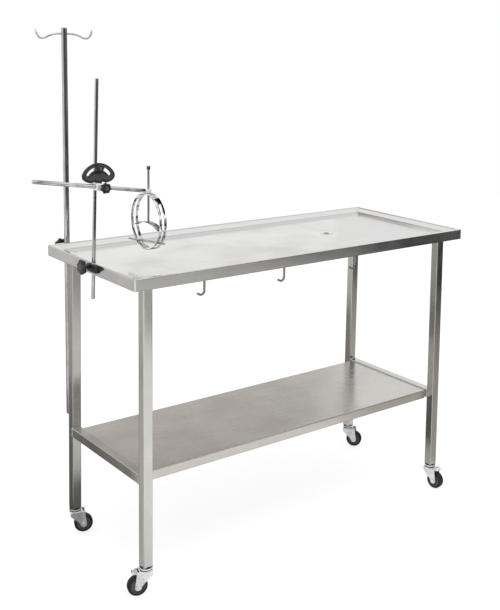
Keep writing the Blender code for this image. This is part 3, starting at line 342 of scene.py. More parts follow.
# Where lines of painted shade run: the tray's bends and the shelf's bend, each an inset from the edge and a
# half width.
TOP_FOLDS = ((0.0024, 0.0011), (RIM, 0.0018), (RIM + WALL_RUN, 0.0014))
SHELF_FOLDS = ((HALF_Y - SHELF_Y + 0.0011, 0.0009),)
STEEL_TOP = brushed_steel(
    "steel_top", "x", (0.79, 0.79, 0.785), (0.71, 0.71, 0.705), 0.15, 0.5, TOP_FOLDS, TOP - SKIRT
)
STEEL_SHELF = brushed_steel(
    "steel_shelf", "x", (0.66, 0.64, 0.61), (0.57, 0.55, 0.52), 0.26, 0.8,
    SHELF_FOLDS, SHELF_TOP - SHELF_FLANGE,
)
STEEL_LEG = brushed_steel("steel_leg", "z", (0.72, 0.71, 0.69), (0.56, 0.55, 0.53), 0.17, 0.6)
# A darker copy of the leg steel: painted shade for the rear-left and front-right legs.
STEEL_LEG_SHADED = brushed_steel("steel_leg_shaded", "z", (0.54, 0.53, 0.51), (0.42, 0.41, 0.39), 0.18, 0.6)
STEEL_RAIL = brushed_steel("steel_rail", "y", (0.66, 0.65, 0.635), (0.53, 0.52, 0.505), 0.18, 0.6)
CHROME_ROD = bright_metal("chrome_rod", grey(0.60), grey(0.38), 0.03, "z")
CHROME_BAR = bright_metal("chrome_bar", grey(0.88), grey(0.28), 0.06, "x", 0.004)
SCREW_STEEL = bright_metal("screw_steel", grey(0.40), grey(0.16), 0.16)
# Near black to near white in small patches: painted reflection.
CHROME_BAND = bright_metal("chrome_band", grey(0.90), grey(0.07), 0.04, haze_and_reflection=(0.022, 0.44, 0.53))
HOOK_STEEL = bright_metal("hook_steel", (0.44, 0.435, 0.43), (0.18, 0.177, 0.175), 0.12)
ZINC = zinc_plate("caster_zinc", 0.8)
SATIN = zinc_plate("clamp_satin", 0.45)
WELD = weld_metal("weld_bead")
BLACK_KNOB = black_moulding("knob_black", 0.006, 0.30)
BLACK_PLATE = black_moulding("plate_black", 0.011, 0.5, PLATE_Y + SHIFT[1])
BLACK_CLAMP = black_moulding("clamp_black", 0.013, 0.46)
HUB_GREY = black_moulding("hub_grey", 0.06, 0.45)
INSERT_GREY = black_moulding("insert_grey", 0.035, 0.22)
RUBBER = tyre_rubber("tyre_rubber")


def grid_faces(rows, across, rows_close, across_close):
    """Four-sided faces of a grid of points, as rows of indices, with either direction closed on itself."""
    r = np.arange(rows if rows_close else rows - 1)[:, None]
    c = np.arange(across if across_close else across - 1)[None, :]
    near, far = r * across, (r + 1) % rows * across
    after = (c + 1) % across
    return columns(near + c, near + after, far + after, far + c).reshape(-1, 4)


def skin(name, sheets, finish, body, slot, *nodes, sharp=38.0):
    """One piece from grids of points. A sheet is its points and whether its rows close.

    The last column of a sheet joins the first. Open ends are capped.
    """
    points, faces, start = [], [], 0
    for grid, rows_close in sheets:
        rows, across = grid.shape[:2]
        end = start + rows * across
        faces += (grid_faces(rows, across, rows_close, True) + start).tolist()
        if not rows_close:
            faces += [list(range(start, start + across)), list(range(end - across, end))]
        points.append(grid.reshape(-1, 3))
        start = end
    return piece(name, join(*points), faces, finish, body, nodes, sharp)


def piece(name, points, faces, finish, body, nodes, sharp=38.0, closed=True):
    """A mesh that rides its body and replaces solids, with edges over the sharp angle left hard."""
    mesh = bpy.data.meshes.new(name)
    mesh.from_pydata((points + SHIFT).tolist(), [], faces)
    if closed:
        work = bmesh.new()
        work.from_mesh(mesh)
        bmesh.ops.recalc_face_normals(work, faces=work.faces)
        work.to_mesh(mesh)
        work.free()
    mesh.polygons.foreach_set("use_smooth", np.ones(len(mesh.polygons), bool))
    mesh.set_sharp_from_angle(angle=math.radians(sharp))
    mesh.materials.append(finish)
    made = bpy.data.objects.new(name, mesh)
    bpy.context.scene.collection.objects.link(made)
    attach(made, body)
    if nodes:
        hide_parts(*nodes)
    return made


def dress(finish, *nodes):
    """Gives solids that keep their own shape a finish."""
    for node in nodes:
        for held in NODES[node].material_slots:
            held.material = finish


def soften(path, radius, steps=4, close=False, hold=0.0004):
    """Rounds the corners of a line of points.

    Each corner becomes a quadratic curve between the points one radius before and after it, with a
    short straight at both ends that keeps the flats flat.
    """
    p = np.asarray(path, float)
    before, at, after = (np.roll(p, 1, 0), p, np.roll(p, -1, 0)) if close else (p[:-2], p[1:-1], p[2:])
    a, b = before - at, after - at
    la, lb = [np.linalg.norm(v, axis=1, keepdims=True) for v in (a, b)]
    reach = np.minimum(np.asarray(radius, float).reshape(-1, 1), 0.42 * np.minimum(la, lb))
    straight = np.minimum(hold, 0.05 * np.minimum(la, lb))
    t = np.linspace(0, 1, steps + 1)[None, :, None]
    start, end = at + a / la * reach, at + b / lb * reach
    curve = (1 - t) ** 2 * start[:, None] + 2 * t * (1 - t) * at[:, None] + t**2 * end[:, None]
    lead, leave = start + a / la * straight, end + b / lb * straight
    made = np.concatenate([lead[:, None], curve, leave[:, None]], 1).reshape(-1, p.shape[1])
    return made if close else join(p[:1], made, p[-1:])


def around(radius, angle, height):
    """Points round Z, from radius, angle and height."""
    return columns(radius * np.cos(angle), radius * np.sin(angle), height)


def revolve(profile, steps=48):
    """Carries (radius, height) points round Z, one row per point."""
    radius, height = np.asarray(profile, float).T[:, :, None]
    return around(radius, np.arange(steps) * TURN / steps, height)


def washer(inner, outer, start, end, soft=0.0004):
    """A flat ring round Z with soft edges, from one height to another."""
    return revolve(soften([(inner, start), (outer, start), (outer, end), (inner, end)], soft, 3, True))


def mirrored(line):
    """A line of (radius, height) points and its mirror image across height zero, in one run."""
    return line + [(r, -h) for r, h in reversed(line)]


def thicken(made, thick):
    """Gives an open sheet its wall, on the side away from its normals."""
    wall = made.modifiers.new("wall", "SOLIDIFY")
    wall.thickness, wall.offset = thick, -1.0


def loop(half_x, half_y, radius, steps=8, hold=0.001):
    """Rounded rectangles, one row each: a corner's centre plus a quarter turn, with short straights."""
    hx, hy, r = [np.asarray(v, float).reshape(-1, 1) for v in (half_x, half_y, radius)]
    quarter = join([0], np.linspace(0, math.pi / 2, steps + 1), [math.pi / 2])
    slide = join([-hold], np.zeros(steps + 1), [hold])
    angle = join(*[quarter + k * math.pi / 2 for k in range(4)])[None, :]
    slide = np.tile(slide, 4)[None, :]
    sx = np.repeat([1, -1, -1, 1], steps + 3)[None, :]
    sy = np.repeat([1, 1, -1, -1], steps + 3)[None, :]
    x = sx * (hx - r) + r * np.cos(angle) - slide * np.sin(angle)
    y = sy * (hy - r) + r * np.sin(angle) + slide * np.cos(angle)
    return columns(x, y)


def lifted(flat, heights):
    """Gives each row of a flat (x, y) grid its height."""
    return columns(flat[..., 0], flat[..., 1], np.asarray(heights, float).reshape(-1, 1))


def beside(profile, distance):
    """The same line moved to its right-hand side by a distance, square to its run."""
    run = np.gradient(profile, axis=0)
    run /= np.linalg.norm(run, axis=1, keepdims=True) + 1e-12
    return profile + distance * columns(run[:, 1], -run[:, 0])


def rod(path, wide, deep=None, steps=20, up=(0, 1, 0)):
    """An oval section carried along a flat path: across it by wide, and along the path's normal by deep."""
    path = np.asarray(path, float)
    run = np.gradient(path, axis=0)
    run /= np.linalg.norm(run, axis=1, keepdims=True)
    up = np.asarray(up, float)
    side = np.cross(run, up)
    wide = np.broadcast_to(wide, len(path)).reshape(-1, 1, 1)
    deep = wide if deep is None else np.broadcast_to(deep, len(path)).reshape(-1, 1, 1)
    angle = (np.arange(steps) + 0.5)[None, :, None] * TURN / steps
    return path[:, None] + side[:, None] * wide * np.cos(angle) + up * deep * np.sin(angle)


def rounded_end(length, radius, steps=5):
    """The (radius, height) points of a rod with dome ends, from 0 to its length."""
    t = np.linspace(0.12, math.pi / 2, steps)
    low = columns(radius * np.sin(t), radius * (1 - np.cos(t)))
    high = columns(radius * np.sin(t[::-1]), length - radius * (1 - np.cos(t[::-1])))
    return join(low, high)


def tray():
    """The skirt, rim and wall are one line of (inset, depth) carried round the table.

    The floor runs on from its inner end and falls into the dish by half a cosine wave. The underside
    is the same line, one sheet thickness to the side.
    """
    wall, strip = RIM + WALL_RUN, 0.012
    corners = [(0, -SKIRT), (0, 0), (RIM, 0), (wall, -PAN_DEPTH), (wall + strip, -PAN_DEPTH)]
    line = soften(corners, [0.0018, 0.0022, 0.0026], 6)
    under = beside(line, SHEET)
    under[0, 1], under[-1] = -SKIRT, line[-1] - (0, SHEET)
    inset = join(line[:, 0], under[::-1, 0])
    depth = join(line[:, 1], under[::-1, 1])
    corner = np.maximum(0.0022 - inset, 0.0012)
    outline = lifted(loop(HALF_X - inset, HALF_Y - inset, corner), TOP + depth)
    floor = TOP - PAN_DEPTH
    share = np.linspace(0, 1, 16)
    fall = DISH_DEPTH * (1 - np.cos(math.pi * share)) / 2
    slope = columns(DISH_EDGE + (DISH_FLAT - DISH_EDGE) * share, floor - fall)
    top = join(slope, [(DRAIN_OUT + GAP, floor - DISH_DEPTH)])
    bottom = columns(top[::-1, 0], top[::-1, 1] - SHEET)
    ring = join(top, bottom)
    count = outline.shape[1]
    angle = (np.arange(count) + 0.5)[None, :] * TURN / count
    dish = around(ring[:, :1], angle, ring[:, 1:]) + (DRAIN_X, 0, 0)
    half = len(line)
    points = join(outline[:half], dish, outline[half:])
    return skin("tray", [(points, True)], STEEL_TOP, "table", "steel", "table_top")


def tube(length, lean=0.0):
    """A hollow square tube along Z. Its head is moved along X by the lean."""
    half, wall = LEG / 2, SHEET
    halves = np.array([half, half, half - wall, half - wall])
    points = lifted(loop(halves, halves, [0.0020, 0.0020, 0.0007, 0.0007], 6), [0, length, length, 0])
    points[1:3, :, 0] += lean
    return points


def bead(half, radius, thick):
    """A weld: a small round section carried round a square tube's outline, swelling in even ripples."""
    path = loop(half, half, radius, 6)[0]
    ends = np.roll(path, -1, 0) - path
    count = np.maximum((np.linalg.norm(ends, axis=1) / 0.0009).astype(int), 1)
    share = join(*[np.arange(n) / n for n in count])
    index = np.repeat(np.arange(len(path)), count)
    path = path[index] + ends[index] * share[:, None]
    swell = thick * (1 + 0.22 * np.sin(np.arange(len(path)) * TURN / 3.5))
    run = np.roll(path, -1, 0) - np.roll(path, 1, 0)
    run /= np.linalg.norm(run, axis=1, keepdims=True)
    out = columns(run[:, 1], -run[:, 0])
    angle = np.arange(8)[None, :, None] * TURN / 8
    flat = path[:, None] + out[:, None] * swell[:, None, None] * np.cos(angle)
    return columns(flat[..., 0], flat[..., 1], swell[:, None] * np.sin(angle[..., 0]))


def floor_point(corner):
    """The point of the floor below a corner's leg."""
    x = -LEG_X if "left" in corner else LEG_X
    y = -LEG_Y if "front" in corner else LEG_Y
    return np.array([x, y, 0.0])


def frame_tubes():
    """Legs and shelf rails, with a weld at each leg's head and where each rail meets a leg."""
    span = 2 * LEG_Y - LEG - 2 * GAP
    rail_z = RAIL_TOP - LEG / 2
    ring = bead(LEG / 2 + 0.0002, 0.003, 0.0013)
    for corner, lean in LEANS.items():
        base = floor_point(corner)
        points = put(tube(LEG_HEAD - LEG_FOOT, lean), base + (0, 0, LEG_FOOT))
        # Two legs take the darker copy of the steel as painted shade.
        finish = STEEL_LEG_SHADED if corner in ("rear_left", "front_right") else STEEL_LEG
        skin("leg_tube_" + corner, [(points, True)], finish, "table", "steel", "leg_" + corner)
        top = put(ring, base + (lean, 0, LEG_HEAD - 0.0008))
        joint = put(ring, (base[0], np.sign(base[1]) * (span / 2 - 0.0006), rail_z), TO_FRONT)
        skin("weld_" + corner, [(top, True), (joint, True)], WELD, "table", "steel")
    for side, x in (("left", -LEG_X), ("right", LEG_X)):
        points = put(tube(span), (x, span / 2, rail_z), TO_FRONT)
        skin("rail_tube_" + side, [(points, True)], STEEL_RAIL, "table", "steel", "shelf_rail_" + side)


def shelf():
    """A sheet with a flange turned down all round.

    One line of (inset, depth) runs out under the top, down the inside of the flange, up its outside
    and on to the flat top, and is carried round the shelf.
    """
    strip = 0.02
    line = soften([(0, -SHELF_FLANGE), (0, 0), (strip, 0)], 0.0035, 6)
    inset = join([strip, SHEET, SHEET], line[:, 0])
    depth = join([-SHEET, -SHEET, -SHELF_FLANGE], line[:, 1])
    corner = np.maximum(0.003 - inset, 0.0012)
    points = lifted(loop(SHELF_X - inset, SHELF_Y - inset, corner), SHELF_TOP + depth)
    return skin("shelf_sheet", [(points, False)], STEEL_SHELF, "table", "steel", "shelf_panel")


def tie_hooks():
    """A flattened tab runs into a round rod, which bends through part of a circle to a short dome tip.

    The rod is an oval carried along that path. Wide and deep are its half widths at each point, and
    shift keeps its back flush while the tab thickens.
    """
    tab, bend, radius, hang, bent = 0.0024, 0.009, 0.003, 0.037, math.radians(118)
    centre = np.array([-bend, 0, -SKIRT - hang + bend + radius])
    angle = np.linspace(0, bent, 16)
    arc = centre + bend * columns(np.cos(angle), 0, -np.sin(angle))
    out = np.array([-math.sin(bent), 0, -math.cos(bent)])
    tip = arc[-1] + out * np.array([0.003, 0.0062, 0.0072, 0.0079, 0.0082])[:, None]
    drop = np.array([0.011, 0.0114, 0.0236, 0.026, 0.028, 0.030, 0.034, 0.045])
    shank = columns(0, 0, -drop)
    path = join(shank, arc, tip)
    flare = [0.0056, 0.006, 0.006, 0.0052, 0.0038, radius, radius, radius]
    wide = join(flare, np.full(len(arc), radius), radius * np.array([1, 1, 0.88, 0.6, 0.2]))
    deep = join(np.full(3, tab / 2), [0.0017, 0.0024], wide[5:])
    shift = join(np.zeros(3), [0.0006, 0.0013], np.full(len(path) - 5, radius - tab / 2))
    for side, sy in (("front", -1), ("rear", 1)):
        moved = path - columns(0, sy * shift, 0)
        for i in range(3):
            at = (HOOK_X + i * HOOK_PITCH, sy * (HALF_Y - SHEET - GAP - tab / 2), TOP)
            points = put(rod(moved, wide, deep), at)
            which = "%s_%d" % (side, i + 1)
            skin("hook_rod_" + which, [(points, False)], HOOK_STEEL, "table", "chrome", "tie_hook_" + which)


def drain():
    """A flanged cup turned from one line, almost flush with the floor.

    A dark sleeve turned from a second line lines the drain's hole as painted shade, with two crossed bars in
    the same black.
    """
    at = (DRAIN_X, 0, TOP - PAN_DEPTH - DISH_DEPTH + GAP)
    lip = 0.0003
    line = [(DRAIN_IN, -0.001), (DRAIN_IN + 0.0008, lip), (DRAIN_FLANGE, lip), (DRAIN_FLANGE, 0)]
    line += [(DRAIN_OUT, 0), (DRAIN_OUT, -DRAIN_DROP), (DRAIN_IN, -DRAIN_DROP)]
    cup = put(revolve(soften(line, 0.0001, 3, True)), at)
    skin("drain_cup", [(cup, True)], STEEL_TOP, "table", "chrome", "drain_strainer")
    # Painted shade: a black sleeve inside the cup stands for the dark of the drain's hole.
    outer, inner, high, low = DRAIN_IN - 0.0001, DRAIN_IN - 0.0008, -0.0004, -0.026
    line = [(outer, high), (outer, low), (inner, low), (inner, high)]
    throat_shade = put(revolve(soften(line, 0.0002, 2, True)), at)
    bar = lifted(loop([0.0078] * 2, [0.0009] * 2, [0.0004] * 2, 2, 0.0002), [-0.0065, -0.0045])
    bars = [put(bar, at, turn("z", math.radians(a))) for a in (20, 110)]
    skin("drain_shade_and_bars", [(throat_shade, True)] + [(b, False) for b in bars], BLACK_CLAMP, "table", "black")


def star(radius, head, neck_radius, neck, screw):
    """A star knob turned from one line. In the head the radius falls by a smooth wave of seven lobes.

    From its tip up it has a screw, a neck and a head, each given by its length.
    """
    base = screw + neck
    top = base + head
    floor = top - head * 0.07
    line = [(0.0026, 0), (0.003, 0.0006), (0.003, screw), (neck_radius, screw), (neck_radius * 0.92, base)]
    cap = [(radius * 0.8, base), (radius, base + head * 0.22)]
    cap += [(radius, top - head * 0.25), (radius * 0.82, top)]
    dish = [(radius * 0.56, top), (radius * 0.5, floor), (0.0015, floor)]
    body = soften(cap, [radius * 0.14] * 2, 5)
    r = join(np.array(line)[:, 0], body[:, 0], np.array(dish)[:, 0])
    z = join(np.array(line)[:, 1], body[:, 1], np.array(dish)[:, 1])
    depth = join(np.zeros(len(line)), np.full(len(body), 0.15), [0.05, 0, 0])
    lobes, steps = 7, 112
    angle = np.arange(steps)[None, :] * TURN / steps
    lobe = 0.5 - 0.5 * np.cos(lobes * angle)
    reach = r[:, None] * (1 - depth[:, None] * lobe**0.8)
    return around(reach, angle, z[:, None])


def knob(name, shape, at, turns, body, node):
    """Places a star knob along its turned Z, with a low domed insert in the dish of its head."""
    skin(name, [(put(shape, at, *turns), False)], BLACK_KNOB, body, "black", node)
    reach = np.hypot(shape[-2, :, 0], shape[-2, :, 1]).max() - 0.0004
    floor = shape[-1, 0, 2]
    t = np.linspace(0, math.pi / 2, 9)
    dome = columns(reach * np.cos(t) + 0.0002, floor + 0.0001 + 0.0016 * np.sin(t))
    line = join([(0.0004, floor + 0.0001)], dome)
    skin(name + "_insert", [(put(revolve(line, 40), at, *turns), False)], INSERT_GREY, body, "black")


def knobs():
    """The four star knobs, each at the tip of its screw."""
    tip = ROD_X - ROD_R / math.cos(ROD_LEAN) - 2 * GAP
    screw = tip + 2 * GAP + HALF_X + 0.006
    shape = star(radius=0.019, head=0.0115, neck_radius=0.0058, neck=0.0115, screw=screw)
    at, turns = (tip, ROD_Y, ROD_CLAMP_Z), (turn("z", math.pi), TO_X)
    knob("rod_star_knob", shape, at, turns, "rod_knob", "rod_clamp_knob")
    shape = star(radius=0.019, head=0.014, neck_radius=0.006, neck=0.016 - GAP, screw=0.0045)
    at = (POLE_X, POLE_Y + POLE_R + GAP, POLE_CLAMP_Z)
    knob("pole_star_knob", shape, at, (TO_BACK,), "pole_knob", "pole_clamp_knob")
    at = BAR_MIDDLE + TILT @ (0.0060, -0.0053, 0)
    shape = star(radius=0.0135, head=0.011, neck_radius=0.005, neck=0.005 - GAP, screw=0.003)
    knob("bar_star_knob", shape, at, (TILT, TO_FRONT), "bar_lock", "bar_knob")
    at = PIVOT + ARM @ (0, ARM_Y - ROD_Y, SLOT_R)
    shape = star(radius=0.0105, head=0.009, neck_radius=0.005, neck=0.002, screw=ARM_Y - PLATE_Y + GAP)
    knob("tilt_star_knob", shape, at, (ARM, TO_FRONT), "tilt_lock", "tilt_knob")


def block(low, high, hole, radius, soft=0.0014):
    """A block along Z with soft edges and one round hole.

    Rows run from the front edge over the sides to the back edge and return through the hole, each a
    rounded rectangle or a circle with as many points.
    """
    low, high = np.array(low, float), np.array(high, float)
    half, middle = (high - low)[:2] / 2, (high + low)[:2] / 2
    t = np.linspace(0, math.pi / 2, 5)
    inset = soft * join(1 - np.sin(t), 1 - np.cos(t))
    z = join(low[2] + soft * (1 - np.cos(t)), high[2] - soft * (1 - np.sin(t)))
    corner = np.maximum(0.004 - inset, 0.001)
    outer = lifted(loop(half[0] - inset, half[1] - inset, corner, 4), z) + (*middle, 0)
    count = outer.shape[1]
    start = math.atan2(outer[0, 0, 1] - hole[1], outer[0, 0, 0] - hole[0])
    angle = start + np.arange(count) * TURN / count
    circle = columns(hole[0] + radius * np.cos(angle), hole[1] + radius * np.sin(angle))
    return join(outer, lifted(np.stack([circle] * 2), [high[2], low[2]]))


def clamp_blocks():
    """The rod clamp's block on the left skirt, by its Y, Z and outward reach, and the pole's clamp."""
    to_left = np.array([[0, 0, -1], [1, 0, 0], [0, 1, 0]], float)
    skirt = HALF_X + GAP
    low, high = (-0.0525, 0.7785, skirt), (-0.004, 0.798, skirt + 0.006)
    points = put(block(low, high, (ROD_Y, ROD_CLAMP_Z), 0.0035), (0, 0, 0), to_left)
    skin("rod_clamp_block", [(points, True)], BLACK_CLAMP, "table", "black", "rod_clamp")
    dress(BLACK_CLAMP, "pole_clamp")


def infusion_pole():
    """A tube turned from one line, and a rod carried along a line through its head that ends in two hooks."""
    inner = POLE_R - 0.0012
    length = POLE_HIGH - POLE_LOW
    line = [(inner, length - 0.003), (inner, 0), (POLE_R, 0), (POLE_R, length), (inner * 0.4, length)]
    points = put(revolve(soften(line, [0.0002, 0.0004, 0.0018], 4)), (POLE_X, POLE_Y, POLE_LOW))
    skin("pole_tube", [(points, False)], CHROME_ROD, "pole", "chrome", "iv_pole")
    x = np.array([0, 0.022, 0.040, 0.056, 0.068, 0.076, 0.079])
    z = np.array([0, 0, -0.004, -0.012, -0.011, -0.001, 0.013])
    half = soften(columns(x, 0, z), 0.009, 5)
    path = join(half[:0:-1] * (-1, 1, 1), half)
    wide = np.full(len(path), 0.0025)
    wide[[0, -1]], wide[[1, -2]] = 0.0008, 0.0024
    points = put(rod(path, wide), (POLE_X, POLE_Y, POLE_HIGH - 0.016))
    skin("bag_hooks", [(points, False)], CHROME_BAR, "pole", "chrome", "iv_hooks")


def straight_rods():
    """The upright rod and a thin black ring of painted shade where it enters the rim, the stepped cross bar
    and the bite bar, all turned.
    """
    length, core = ROD_HIGH - ROD_LOW, 0.0006
    line = soften([(core, 0), (ROD_R, 0), (ROD_R, length), (core, length)], 0.001, 4)
    foot = np.array([ROD_X, ROD_Y, ROD_CLAMP_Z]) + LEAN @ (0, 0, ROD_LOW - ROD_CLAMP_Z)
    skin("holder_rod", [(put(revolve(line), foot, LEAN), False)], CHROME_ROD, "rod", "chrome", "support_rod")
    # Painted shade: a thin black ring stands for the dark gap of the rod's hole.
    hole_shade = washer(0.0047, 0.0055, TOP - 0.001, TOP + 0.0007, 0.0002)
    skin("rod_hole_shade", [(put(hole_shade, (ROD_X + 0.00025, ROD_Y, 0)), True)], BLACK_CLAMP, "table", "black")
    shoulder, tip = BAR_BACK + BAR_FRONT - 0.011, BAR_BACK + BAR_FRONT - 0.006
    spigot = BAR_R / 2
    line = soften([(core, 0), (BAR_R, 0), (BAR_R, shoulder), (spigot, shoulder), (spigot, tip)], 0.0009, 4)
    tail = BAR_MIDDLE - TILT @ (BAR_BACK, 0, 0)
    points = put(revolve(line), tail, TILT, TO_X)
    skin("holder_bar", [(points, False)], CHROME_BAR, "bar", "chrome", "cross_bar")
    line = rounded_end(BITE_LENGTH, 0.0027)
    slope = turn("x", math.pi / 2 - math.radians(5))
    middle = HEAD + (0, 0.0105, -RING_DROP - 0.052)
    points = put(revolve(line - (0, BITE_LENGTH / 2), 32), middle, slope)
    skin("bite_rod", [(points, False)], CHROME_BAR, "bite", "chrome", "bite_bar")


def press():
    """The screw's radius follows its height less the turn, in saw teeth one pitch apart, below a grip.

    The plate is a soft rectangle swung about a line below it. Near both ends its width falls as an
    ellipse does.
    """
    pitch, low, top, end, steps = 0.0015, GAP - PRESS_DROP, 0.0533, 0.0623, 24
    height = np.arange(low, top, pitch / 6)[:, None]
    angle = np.arange(steps)[None, :] * TURN / steps
    wave = np.abs(((height / pitch - angle / TURN) % 1.0) - 0.5) * 2
    radius = 0.003 - 0.00045 * wave
    thread = around(radius, angle, height)
    grip = revolve(soften([(0.0031, top), (0.0045, top), (0.0045, end), (0.0008, end)], 0.0012, 4), steps)
    points = put(join(thread, grip), HEAD)
    skin("press_thread", [(points, False)], SCREW_STEEL, "press", "chrome", "press_screw")
    arc, chord, wide, thick = 0.125, 0.058, 0.018, 0.002
    share = np.linspace(-1, 1, 49)
    swing = (share * math.asin(chord / arc))[:, None]
    section = soften([(-1, 0), (1, 0), (1, -1), (-1, -1)], 0.25, 3, True)
    near_end = np.maximum(np.abs(share) - 0.88, 0) / 0.12
    taper = np.sqrt(1 - 0.75 * near_end**2)[:, None]
    x = section[None, :, 0] * wide / 2 * taper
    r = arc + section[None, :, 1] * thick
    points = columns(x, r * np.sin(swing), r * np.cos(swing) - arc)
    points = put(points, HEAD + (0, 0, -PRESS_DROP))
    skin("press_pad", [(points, False)], CHROME_BAND, "press", "chrome", "press_plate")


def ring():
    """A band bent to a circle about X: a grid of angle and width less the slots, then thickened."""
    steps, slot = 180, 0.003
    across = np.array([-RING_BAND / 2, -RING_BAND / 4, -slot, slot, RING_BAND / 4, RING_BAND / 2])
    angle = np.arange(steps) * TURN / steps
    x, a = np.meshgrid(across, angle)
    points = columns(x, RING_R * np.sin(a), RING_R * np.cos(a))
    faces = grid_faces(steps, len(across), True, False)
    middle = (faces[:, 0] // len(across) + 0.5) * 360 / steps
    from_top = np.minimum(middle, 360 - middle)
    slotted = (faces[:, 0] % len(across) == 2) & (from_top > 45) & (from_top < 155)
    points = put(points, HEAD - (0, 0, RING_DROP))
    faces = faces[~slotted].tolist()
    made = piece("ring_band", points.reshape(-1, 3), faces, CHROME_BAND, "bar", ("head_ring",),
                 closed=False)
    thicken(made, RING_THICK)
    edge = made.modifiers.new("edge", "BEVEL")
    edge.width, edge.segments = 0.0005, 2
    edge.limit_method, edge.angle_limit = "ANGLE", math.radians(50)


def arc_plate():
    """A plate between two matched closed lines, its outline and its slot.

    Rows run from the back of the outline over a raised border to a sunk field, over the slot's border and
    back behind it. The outline is an arc, a cubic curve down each end and an arch with a round lug. Each
    row is a share of the way from outline to slot, and of the plate's thickness.
    """
    quarter, dome_end, lug = 28, math.radians(60), 0.0075
    t = np.linspace(0, dome_end, quarter)
    dome = 0.0468 * columns(np.sin(t), np.cos(t))
    pull = dome[-1] + 0.016 * np.array([math.cos(dome_end), -math.sin(dome_end)])
    low = np.array([0.018, -0.001])
    t = np.linspace(0, 1, 13)[1:, None]
    corner = (1 - t) ** 3 * dome[-1] + 3 * t * (1 - t) ** 2 * pull
    corner = corner + 3 * t**2 * (1 - t) * (low + (0.015, 0)) + t**3 * low
    t = np.linspace(0, math.acos(lug / low[0]), 9)[1:]
    arch = columns(low[0] * np.cos(t), low[1] + 0.0026 * np.sin(t))
    t = np.linspace(0, math.pi / 2, 8)
    outer = join(dome, corner, arch, lug * columns(np.cos(t), -np.sin(t)))
    width, radius, end = 0.004, SLOT_R, math.radians(55)
    t = np.linspace(0, end, quarter - 6)
    upper = (radius + width) * columns(np.sin(t), np.cos(t))
    t = np.linspace(0, math.pi, 14)[1:-1]
    along = np.array([math.cos(end), -math.sin(end)])
    out = np.array([math.sin(end), math.cos(end)])
    cap = radius * out + width * (np.cos(t)[:, None] * out + np.sin(t)[:, None] * along)
    t = np.linspace(end, 0, len(outer) - len(upper) - len(cap))
    lower = (radius - width) * columns(np.sin(t), np.cos(t))
    inner = join(upper, cap, lower)
    outer, inner = [join(v, v[-2:0:-1] * (-1, 1)) for v in (outer, inner)]
    rows = [(0, 0), (0, 0.75), (0.03, 0.97), (0.07, 1), (0.24, 1), (0.3, 0.93), (0.34, 0.8), (0.40, 0.78)]
    rows += [(0.68, 0.78), (0.72, 0.8), (0.76, 0.93), (0.82, 1), (0.95, 1), (0.98, 0.97), (1, 0.8), (1, 0)]
    share, depth = np.array(rows).T
    flat = outer + share[:, None, None] * (inner - outer)
    points = columns(flat[..., 0], -PLATE_THICK * depth[:, None], flat[..., 1])
    points = put(points, PIVOT + (0, PLATE_Y + PLATE_THICK - ROD_Y, 0), LEAN)
    skin("arc_plate", [(points, True)], BLACK_PLATE, "tilt_head", "black", "tilt_plate", sharp=55.0)


def fork_sheet():
    """A pressed fork: across it the sheet goes up one cheek, over the crown and down the other.

    Along it each height has its own front and rear edge, closing in a half circle round the axle.
    """
    half, top, bend, eye = FORK_HALF, FORK_TOP, 0.004, 0.0085
    nose, shoulder, crown_z = -0.014, 0.0513, top - 0.0005
    low = WHEEL_R - eye * 0.995
    section = soften([(-half, low), (-half, top), (half, top), (half, low)], bend, 6)
    count = 22
    height = low + (top - bend - 0.0008 - low) * (1 - np.cos(np.linspace(0, math.pi, count))) / 2
    left = columns(np.full(count, -half), height)
    right = left[::-1] * (-1, 1)
    section = join(left, section[1:-1], right)
    z = section[:, 1]
    drop = np.clip((z - WHEEL_R) / (shoulder - WHEEL_R), 0, 1)
    circle = np.sqrt(np.clip(eye**2 - np.minimum(z - WHEEL_R, 0) ** 2, 0, None))
    front = np.where(z > shoulder, nose, TRAIL - circle + (nose - TRAIL + eye) * drop**1.1)
    taper = (eye - 0.0045) * np.clip((z - WHEEL_R) / 0.028, 0, 1)
    rear = np.where(z > WHEEL_R, TRAIL + eye - taper, TRAIL + circle)
    crown = np.clip((np.abs(section[:, 0]) - 0.006) / 0.008, 0, 1)
    front = front - 0.002 * (1 - crown) * (z > crown_z)
    rear = np.where(z > crown_z, 0.0165 + 0.008 * crown**2, rear)
    share = np.linspace(0, 1, 13)[None, :]
    x = front[:, None] * (1 - share) + rear[:, None] * share
    return columns(x, section[:, :1], section[:, 1:])


def race(corner, base):
    """The stem, its brim, the barrel of the race and the rivet below, turned from one line, a black collar
    under the leg, and a black ring of painted shade in the gap above the fork.
    """
    cap, low = LEG_FOOT - GAP, FORK_TOP + GAP
    stem, brim, barrel, rivet, head = 0.0105, 0.0168, 0.0135, 0.004, 0.0065
    line = [(stem, cap + 0.028), (stem, cap - 0.0023), (brim, cap - 0.0023), (brim, cap - 0.0056)]
    line += [(barrel, cap - 0.0060), (barrel, low), (rivet, low), (rivet, 0.061), (head, 0.061)]
    line += [(head, 0.0592), (0.003, 0.0588)]
    points = put(revolve(soften(line, 0.0007, 3)), base)
    skin("race_cap_" + corner, [(points, False)], ZINC, "table", "chrome", "caster_stem_" + corner)
    collar = put(washer(0.0107, 0.0148, cap, cap - 0.0021), base)
    # Painted shade: a thin black ring round the barrel stands for the dark gap between the race cap and the
    # fork.
    gap_shade = put(washer(0.0137, 0.0155, cap - 0.0061, low + 0.0002), base)
    skin("foot_washer_" + corner, [(collar, True), (gap_shade, True)], BLACK_CLAMP, "table", "black")


